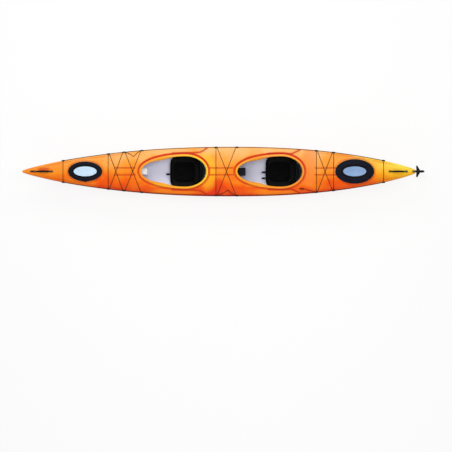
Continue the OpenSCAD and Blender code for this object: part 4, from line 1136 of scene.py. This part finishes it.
def cord_piece(name, node, routes):
    bm = bmesh.new()
    for route in routes:
        tube(bm, route)
    shade(bm, 60.0)
    hand_over(piece_from(bm, name), "boat", "cord", cord_finish.material, node)
    length = sum((b - a).length for route in routes for a, b in zip(route, route[1:]))
    print(name, len(routes), "lengths,", round(length, 2), "m in all")


edges = [along_edge(a, b, way) for way in (1, -1) for a, b in zip(FITTINGS, FITTINGS[1:])]
cord_piece("perimeter_cord", "perimeter_lines", edges)
cord_piece("cross_cord", "cross_lines", [over_deck(x, x, 1) for x in CROSS_PLACES])
fore_routes = crossed(FORE_LINE, PEAK_LINE) + crossed(PEAK_LINE, PEAK_END)
fore_routes.append(dipped(PEAK_LINE, PEAK_END, 1, *FORE_DIP))
cord_piece("fore_bungee", "fore_bungees", fore_routes)
mid_routes = crossed(MID_LINE, MID_END) + [dipped(MID_LINE, MID_END, -1, *MID_DIP)]
cord_piece("mid_bungee", "mid_bungees", mid_routes)
cord_piece("aft_bungee", "aft_bungees", crossed(AFT_LINE, REAR_LINE))
cleat_share = CLEAT_Y / half_beam(CLEAT_X)
line_end = -math.sin(EDGE_ANGLE - fitting_step(AFT_LINE))
lift_route = []
for part in span(0.0, 1.0, 24):
    x = CLEAT_X + CLEAT_LEAD + (AFT_LINE - LINE_STOP - CLEAT_X) * part
    lift_route.append(on_deck(x, cleat_share + (line_end - cleat_share) * part, CORD_LIFT))
cord_piece("lift_cord", "lift_line", [lift_route])

# %% [markdown]
# ## Handle grips
# A rubber sleeve makes the middle of each carrying strap thick enough to hold. The strap is an arc,
# so the sleeve is a loft of ovals along the same arc, fullest in the middle.

# %% Handle grips
HANDLE_SPAN, HANDLE_RISE = 0.224, 0.024
STRAP_THICK, STRAP_INSET, FOOT_GAP = 0.006, 0.012, 0.0004
GRIP_REACH, GRIP_STEPS, GRIP_SIDES = 0.080, 28, 20
GRIP_END, LEAST_GRIP = 0.62, 0.0086
RIDGE, RIDGES = 0.05, 14.0


def grip(name, x, half_wide, half_thick):
    foot = max(crown(x - HANDLE_SPAN / 2), crown(x + HANDLE_SPAN / 2)) + FOOT_GAP
    chord = HANDLE_SPAN / 2 - STRAP_INSET
    bend = (chord * chord + HANDLE_RISE * HANDLE_RISE) / (2.0 * HANDLE_RISE)
    middle = Vector((x, 0.0, foot + HANDLE_RISE - bend))
    sections = []
    for share in span(-1.0, 1.0, GRIP_STEPS):
        turn = share * math.asin(GRIP_REACH / bend)
        out = Vector((math.sin(turn), 0.0, math.cos(turn)))
        full = GRIP_END
        if abs(share) < 1.0:
            full += (1.0 - GRIP_END) * math.cos(share * math.pi / 2) ** 0.5
        ridge = 1.0 + RIDGE * math.cos(share * RIDGES * math.pi)
        ring = []
        for k in range(GRIP_SIDES):
            t = 2.0 * math.pi * k / GRIP_SIDES
            aside = max(half_wide * full, LEAST_GRIP) * ridge * math.sin(t)
            away = bend + STRAP_THICK / 2 + half_thick * full * math.cos(t)
            ring.append(middle + out * away + Vector((0.0, aside, 0.0)))
        sections.append(ring)
    hand_over(lofted(name, sections), "boat", "handle_rubber", handle_rubber)


grip("bow_grip", SCOOPS[0], 0.0135, 0.0095)
grip("stern_grip", SCOOPS[1], 0.0125, 0.0090)

# %% [markdown]
# ## Hatch covers
# Each hatch has an oval rubber cover that snaps down over the rim, with a flat plate let into its
# top. The cover is turned from one section like a lid on a wheel, but its rings are ovals, so it is
# lofted. Corner cutting rounds the section. A shallow moat runs round the plate, and the front cover
# has a small pull at its edge.

# %% Hatch covers
COVER_SECTION = [
    (0.0085, 0.0104), (0.0105, 0.0003), (0.030, 0.0003), (0.032, 0.003), (0.031, 0.009),
    (0.024, 0.013), (0.004, 0.0145), (-0.002, 0.017),
]
PLATE_HALF = (0.1535, 0.066)
MOAT_SECTION = [
    (0.0285, 0.0174), (0.0250, 0.0170), (0.0225, 0.0158), (0.0115, 0.0158), (0.0090, 0.0172),
    (0.006, 0.0185), (0.0005, 0.018), (0.0005, 0.0150),
]
PLATE_SECTION = [
    (0.0, 0.0150), (0.0, 0.0174), (-0.0006, 0.0181), (-0.002, 0.0184), (-0.012, 0.0187),
    (-0.030, 0.0190), (-0.050, 0.0191),
]
PULL_FROM, PULL_REACH, PULL_WIDTH = 0.02, 0.011, 0.020
OVAL = 112


def oval_ring(x, half_x, half_y, z, power=2.0):
    ring = []
    for k in range(OVAL):
        turn = 2.0 * math.pi * k / OVAL
        along, aside = math.cos(turn), math.sin(turn)
        across_x = math.copysign(abs(along) ** (2.0 / power), along)
        across_y = math.copysign(abs(aside) ** (2.0 / power), aside)
        ring.append(Vector((x + half_x * across_x, half_y * across_y, z)))
    return ring


def seat_rings(x, half, section):
    """Rings over a hatch seat, by their distance out from an oval and their height."""
    seat = hatch_seat(x)
    return [oval_ring(x, half[0] + out, half[1] + out, seat + lift) for out, lift in section]


def hatch_cover(name, x, half, pull):
    line = rounded_line([Vector(point) for point in COVER_SECTION], 1)
    sections = seat_rings(x, half, line)
    for ring, (out, _) in zip(sections, line):
        for point in ring:
            if pull and out > PULL_FROM and point.y < 0.0:
                point.y -= PULL_REACH * bell(point.x, x, PULL_WIDTH)
    bm = bmesh.new()
    moat = bm.verts.layers.float.new("moat")
    loops = closed_loft(bm, sections + seat_rings(x, PLATE_HALF, MOAT_SECTION))
    mark(loops[len(line) + 1:], moat, 1.0)
    shade(bm, 50.0)
    return piece_from(bm, name)


for end, x, half, pull, paint in (
    ("front", FRONT_HATCH, FRONT_OPENING, True, pale_plate),
    ("rear", REAR_HATCH, REAR_OPENING, False, blue_plate),
):
    lid = hatch_cover(end + "_lid", x, half, pull)
    hand_over(lid, end + "_hatch", "hatch_rubber", rubber.material, end + "_hatch_cover")
    plate = lofted(end + "_lid_plate", seat_rings(x, PLATE_HALF, PLATE_SECTION))
    hand_over(plate, end + "_hatch", "hatch_plate", paint, end + "_hatch_plate")

# %% [markdown]
# ## Rudder cap and hull bolts
# A moulded cap covers the top of the rudder's hub and turns with it. It is a loft that starts inside
# a round hollow over the pin, comes out under the cap and closes at the top. Small bolt heads on both
# sides of the hull are flattened spheres, turned to the slope of the skin and half sunk in it.

# %% Rudder cap
RUDDER_AXIS, HUB_TOP, CAP_BACK, CAP_POWER = 2.655, 0.3204, 2.6822, 3.6
CAP_HOLLOW = [(0.0125, 0.0066), (0.0125, 0.0006)]
CAP_ROWS = [
    (2.6350, 0.0140, 0.3210), (2.6345, 0.0146, 0.3225), (2.6350, 0.0148, 0.3300),
    (2.6380, 0.0148, 0.3400), (2.6440, 0.0146, 0.3500), (2.6500, 0.0140, 0.3570),
    (2.6555, 0.0130, 0.3620), (2.6610, 0.0112, 0.3652), (2.6670, 0.0080, 0.3668),
]

sections = [oval_ring(RUDDER_AXIS, r, r, HUB_TOP + lift) for r, lift in CAP_HOLLOW]
for front, half_y, z in CAP_ROWS:
    middle, half_x = (front + CAP_BACK) / 2, (CAP_BACK - front) / 2
    sections.append(oval_ring(middle, half_x, half_y, z, CAP_POWER))
hand_over(lofted("rudder_cap", sections), "rudder_head", "fin_metal", fin_metal)

# %% Hull bolts
BOLTS = [(-1.600, 0.150), (-0.350, 0.125), (0.043, 0.108)]
BOLT_RADIUS, BOLT_RISE = 0.0065, 0.4
SKIN_STEP = 0.001


def hull_skin(x, z):
    """The point of the hull's outer face at a place and a height."""
    share = (sheer(x) - z) / (sheer(x) - keel(x))
    turn = math.acos(math.cos(KEEL_ANGLE) * share ** (section_power(x) / 2.0))
    return hull_point(x, turn, 0.0)


bm = bmesh.new()
flat = Matrix.Diagonal((1.0, 1.0, BOLT_RISE, 1.0))
for x, z in BOLTS:
    along = hull_skin(x + SKIN_STEP, z) - hull_skin(x - SKIN_STEP, z)
    upward = hull_skin(x, z + SKIN_STEP) - hull_skin(x, z - SKIN_STEP)
    for way in (1, -1):
        mirror = Vector((1.0, way, 1.0))
        normal = upward.cross(along).normalized() * mirror
        turn = normal.to_track_quat("Z", "Y").to_matrix().to_4x4()
        seat = Matrix.Translation(hull_skin(x, z) * mirror) @ turn @ flat
        bmesh.ops.create_uvsphere(bm, u_segments=24, v_segments=12, radius=BOLT_RADIUS, matrix=seat)
shade(bm, 60.0)
hand_over(piece_from(bm, "hull_bolts"), "boat", "steel", steel)

# %% [markdown]
# ## Seat pans
# A seat pan is one dished moulding of black plastic with a rolled lip that rises towards the back.
# Its rings are squarish ovals. The section is rounded in the same way as the rims.

# %% Seat pans
SEAT_HEIGHT = 0.034
SEAT_SHIFT = REAR_COCKPIT - FRONT_COCKPIT
PAN_HALF, PAN_POWER = 0.2, 5.0
LIP_LOW, LIP_RISE, LIP_AHEAD, LIP_RUN = 0.028, 0.056, 0.150, 0.190
PAN_ROWS = [
    (-0.016, None, 0.0), (-0.005, None, 0.008), (0.0, 0.0, 0.0), (0.008, 0.0, 0.0),
    (0.008, 0.004, 0.0), (-0.005, 0.004, 0.0), (-0.010, None, 0.014), (-0.024, None, 0.006),
]


def pan_edge(x, place):
    """Height of the lip, which rises towards the back."""
    return SEAT_HEIGHT + LIP_LOW + LIP_RISE * eased((place - x + LIP_AHEAD) / LIP_RUN)


def seat_pan(name, x):
    """The pan's rings: its foot, up the outside, over the lip and down the inside."""
    rings = []
    for out, lip, level in PAN_ROWS:
        half = PAN_HALF + out
        ring = oval_ring(x, half, half, SEAT_HEIGHT + level, PAN_POWER)
        if lip is not None:
            for place in ring:
                place.z = pan_edge(x, place.x) + lip
        rings.append(ring)
    columns = [rounded_line(column) for column in zip(*rings)]
    return lofted(name, [list(ring) for ring in zip(*columns)], 60.0)


for end, x in (("front", FRONT_COCKPIT), ("rear", REAR_COCKPIT)):
    pan = seat_pan(end + "_pan", x)
    hand_over(pan, "boat", "black_plastic", black_plastic, end + "_seat_pan")

# %% [markdown]
# ## Cushions and back pads
# The seat cushion and the back pad are foam in a woven cover, so they are crowned and pull in at the
# seams. Each starts from the plain CAD solid: a copy is remeshed into small even quads, smoothed a
# little, and blown up as cloth with a light pressure and no gravity. The movement is capped, so that
# the pad keeps to its place. The simulation runs once for the front seat, and the rear seat gets a
# copy, because the two seats are the same.

# %% Cloth helpers
PAD_FRAMES, PRESSURE, CLOTH_MASS = 20, 4.0, 0.3
SMOOTH_ROUNDS = 4


def bake(thing):
    """Turns what the modifiers make into the object's own mesh."""
    graph = bpy.context.evaluated_depsgraph_get()
    made = bpy.data.meshes.new_from_object(thing.evaluated_get(graph))
    thing.modifiers.clear()
    thing.data = made


def remeshed(node, name, voxel):
    thing = bpy.data.objects.new(name, nodes[node].data.copy())
    thing.data.materials.clear()
    bpy.context.scene.collection.objects.link(thing)
    grid = thing.modifiers.new("even_grid", "REMESH")
    grid.mode = "VOXEL"
    grid.voxel_size = voxel
    bake(thing)
    bm = bmesh.new()
    bm.from_mesh(thing.data)
    for _ in range(SMOOTH_ROUNDS):
        bmesh.ops.smooth_vert(
            bm, verts=bm.verts, factor=0.5, use_axis_x=True, use_axis_y=True, use_axis_z=True
        )
    bm.to_mesh(thing.data)
    bm.free()
    return thing


def inflate(thing, limit):
    """Blows the piece up as cloth and caps how far each point may move."""
    start = [vert.co.copy() for vert in thing.data.vertices]
    cloth = thing.modifiers.new("cloth", "CLOTH")
    cloth.settings.use_pressure = True
    cloth.settings.uniform_pressure_force = PRESSURE
    cloth.settings.effector_weights.gravity = 0.0
    cloth.settings.mass = CLOTH_MASS
    cloth.point_cache.frame_end = PAD_FRAMES
    for frame_number in range(1, PAD_FRAMES + 1):
        bpy.context.scene.frame_set(frame_number)
    bake(thing)
    bpy.context.scene.frame_set(1)
    moved = 0.0
    for vert, old in zip(thing.data.vertices, start):
        step = vert.co - old
        if step.length > limit:
            vert.co = old + step * (limit / step.length)
        moved = max(moved, (vert.co - old).length)
    return moved


def refine(thing, shaping):
    """One subdivision, then the seams and channels as small moves of the points."""
    smooth = thing.modifiers.new("smooth", "SUBSURF")
    smooth.levels = smooth.render_levels = 1
    bake(thing)
    bm = bmesh.new()
    bm.from_mesh(thing.data)
    bm.normal_update()
    normals = [vert.normal.copy() for vert in bm.verts]
    seam = bm.verts.layers.float.new("seam")
    for vert, normal in zip(bm.verts, normals):
        vert.co, vert[seam] = shaping(vert.co.copy(), normal)
    for face in bm.faces:
        face.smooth = True
    bm.to_mesh(thing.data)
    bm.free()


print("cloth helpers ready")

# %% Seat cushion
CUSHION_LOW = 0.0402
CUSHION_MIDDLE, CUSHION_SEAM = 0.022, (0.128, 0.116)
SEAM_DEPTH, SEAM_EDGE = 0.0042, 1.02
SIDE_CHANNEL, SIDE_SHARE = 0.060, 0.7


def cushion_shape(place, normal):
    """A seam round the top, three channels along it, and a flat foot in the pan."""
    u = abs(place.x - FRONT_COCKPIT + CUSHION_MIDDLE) / CUSHION_SEAM[0]
    v = abs(place.y) / CUSHION_SEAM[1]
    ring = (u ** 4 + v ** 4) ** 0.25
    seam = 0.0
    if normal.z > 0.25:
        inner = 1.0 if ring < SEAM_EDGE else 0.0
        seam = max(bell(ring, 1.0, 0.035), bell(place.y, 0.0, 0.0045) * inner)
        seam = max(seam, bell(abs(place.y), SIDE_CHANNEL, 0.0035) * inner * SIDE_SHARE)
    place = place - normal * SEAM_DEPTH * seam
    place.z = max(place.z, CUSHION_LOW)
    return place, seam


front_cushion = remeshed("front_seat_cushion", "front_cushion", 0.005)
print("cushion swelled", round(1000 * inflate(front_cushion, 0.007), 1), "mm")
refine(front_cushion, cushion_shape)
print("cushion of", len(front_cushion.data.polygons), "faces")

# %% Back pad
SHELL_RADIUS, SHELL_GAP = 0.230, 0.0006
PAD_CENTRE = FRONT_COCKPIT + 0.005
PAD_MIDDLE, PAD_SEAM, PAD_SEAM_TURN, PAD_END_TURN = 0.230, 0.066, 24.5, 32.0
PAD_CHANNELS = (-12.0, 0.0, 12.0)


def pad_shape(place, normal):
    """Upright channels on the inside of the pad, and a back that lies on the shell."""
    angle = math.atan2(place.y, place.x - PAD_CENTRE)
    turn = math.degrees(angle)
    inward = -(normal.x * math.cos(angle) + normal.y * math.sin(angle))
    seam = 0.0
    if inward > 0.2:
        height = (place.z - PAD_MIDDLE) / PAD_SEAM
        ring = 2.0
        if abs(turn) < PAD_END_TURN:
            ring = max(abs(turn) / PAD_SEAM_TURN, abs(height))
        inner = 1.0 if ring < SEAM_EDGE else 0.0
        channel = max(bell(turn, centre, 0.9) for centre in PAD_CHANNELS)
        seam = max(bell(ring, 1.0, 0.05), inner * channel)
    place = place - normal * SEAM_DEPTH * seam
    reach = math.hypot(place.y, place.x - PAD_CENTRE)
    if reach > SHELL_RADIUS - SHELL_GAP:
        share = (SHELL_RADIUS - SHELL_GAP) / reach
        place = Vector((PAD_CENTRE + (place.x - PAD_CENTRE) * share, place.y * share, place.z))
    return place, seam


front_pad = remeshed("front_backrest_pad", "front_back_pad", 0.0045)
print("pad swelled", round(1000 * inflate(front_pad, 0.005), 1), "mm")
refine(front_pad, pad_shape)
print("pad of", len(front_pad.data.polygons), "faces")

# %% Woven cover
THREADS = 352.0
cover = Finish("woven_cover", roughness=0.86, gloss=0.1)
waves = [cover.wave(direction, THREADS, 0.6) for direction in ("X", "Y", "Z")]
weave = cover.math("MULTIPLY", cover.math("ADD", waves[0], waves[2]), waves[1])
fade = cover.noise(16.0, detail=4.0)
worn = cover.math("ADD", cover.math("MULTIPLY", weave, 0.45), fade)
colour = cover.mix(cover.scaled(worn, 0.25, 1.25), tone(1, 1, 2), tone(9, 9, 10))
cover.colour(cover.stain("seam", 0.75, colour, tone(8, 8, 9)))
cover.bump(weave, 0.45, 0.0006)
cover.feed(cover.shader, {"Sheen Weight": 0.03, "Sheen Roughness": 0.5})


def rear_copy(thing, name):
    twin = bpy.data.objects.new(name, thing.data.copy())
    twin.data.transform(Matrix.Translation((SEAT_SHIFT, 0.0, 0.0)))
    bpy.context.scene.collection.objects.link(twin)
    return twin


rear_cushion = rear_copy(front_cushion, "rear_cushion")
rear_pad = rear_copy(front_pad, "rear_back_pad")
for piece, body, node in (
    (front_cushion, "boat", "front_seat_cushion"),
    (rear_cushion, "boat", "rear_seat_cushion"),
    (front_pad, "front_backrest", "front_backrest_pad"),
    (rear_pad, "rear_backrest", "rear_backrest_pad"),
):
    hand_over(piece, body, "padding", cover.material, node)

# %% [markdown]
# ## Pull tabs
# Small tabs of webbing stick out from the front lip of each seat. Webbing is flat, so a short row of
# rectangles is lofted along its middle line and the long edges are bevelled. Rows of stitches hold
# the tab where it turns round the lip.

# %% Pull tabs
TAB_LINE = [
    (-0.052, -0.0075, 0.008, 0.0030), (-0.047, -0.0060, 0.011, 0.0034),
    (-0.040, -0.0018, 0.013, 0.0036), (-0.030, 0.0002, 0.013, 0.0034),
    (-0.015, 0.0009, 0.013, 0.0032), (0.0, 0.0015, 0.013, 0.0030),
]
TAB_AHEAD, TAB_LEVEL = 0.2083, SEAT_HEIGHT + 0.029
STITCH, STITCH_LIFT = (0.0008, 0.0022, 0.0008), 0.0022
STITCH_ROWS, STITCH_HALF = (-0.034, -0.026), 0.009
LONG_EDGE, SHARP_TURN, TAB_BEVEL = 0.004, 1.2, 0.0009

webbing = Finish("webbing", roughness=0.8)
weft = webbing.math("MULTIPLY", webbing.wave("Y", 260.0), webbing.wave("X", 420.0))
webbing.colour(webbing.mix(weft, tone(16, 16, 17), tone(46, 46, 48)))
webbing.bump(weft, 0.5, 0.0005)


def pull_tab(bm, front, y):
    sections = []
    for ahead, lift, half, thick in TAB_LINE:
        place = Vector((front + ahead, y, TAB_LEVEL + lift))
        corners = ((half, 0.5), (half, -0.5), (-half, -0.5), (-half, 0.5))
        sections.append([place + Vector((0.0, a, b * thick)) for a, b in corners])
    closed_loft(bm, sections)
    for ahead in STITCH_ROWS:
        for aside in span(-STITCH_HALF, STITCH_HALF, 6):
            place = (front + ahead, y + aside, TAB_LEVEL + STITCH_LIFT)
            stitch = bmesh.ops.create_cube(bm, size=1.0)["verts"]
            bmesh.ops.scale(bm, verts=stitch, vec=STITCH)
            bmesh.ops.translate(bm, verts=stitch, vec=place)


def long_and_sharp(edge):
    return edge.calc_length() > LONG_EDGE and edge.calc_face_angle(0.0) > SHARP_TURN


for end, x, places in (
    ("front", FRONT_COCKPIT, (-0.033,)), ("rear", REAR_COCKPIT, (-0.007, -0.087))
):
    bm = bmesh.new()
    for y in places:
        pull_tab(bm, x - TAB_AHEAD, y)
    bmesh.ops.bevel(
        bm, geom=[edge for edge in bm.edges if long_and_sharp(edge)], offset=TAB_BEVEL,
        offset_type="OFFSET", segments=2, profile=0.5, affect="EDGES", material=-1
    )
    shade(bm, 50.0)
    tab = piece_from(bm, end + "_pull_tab")
    hand_over(tab, "boat", "webbing", webbing.material, end + "_seat_strap")
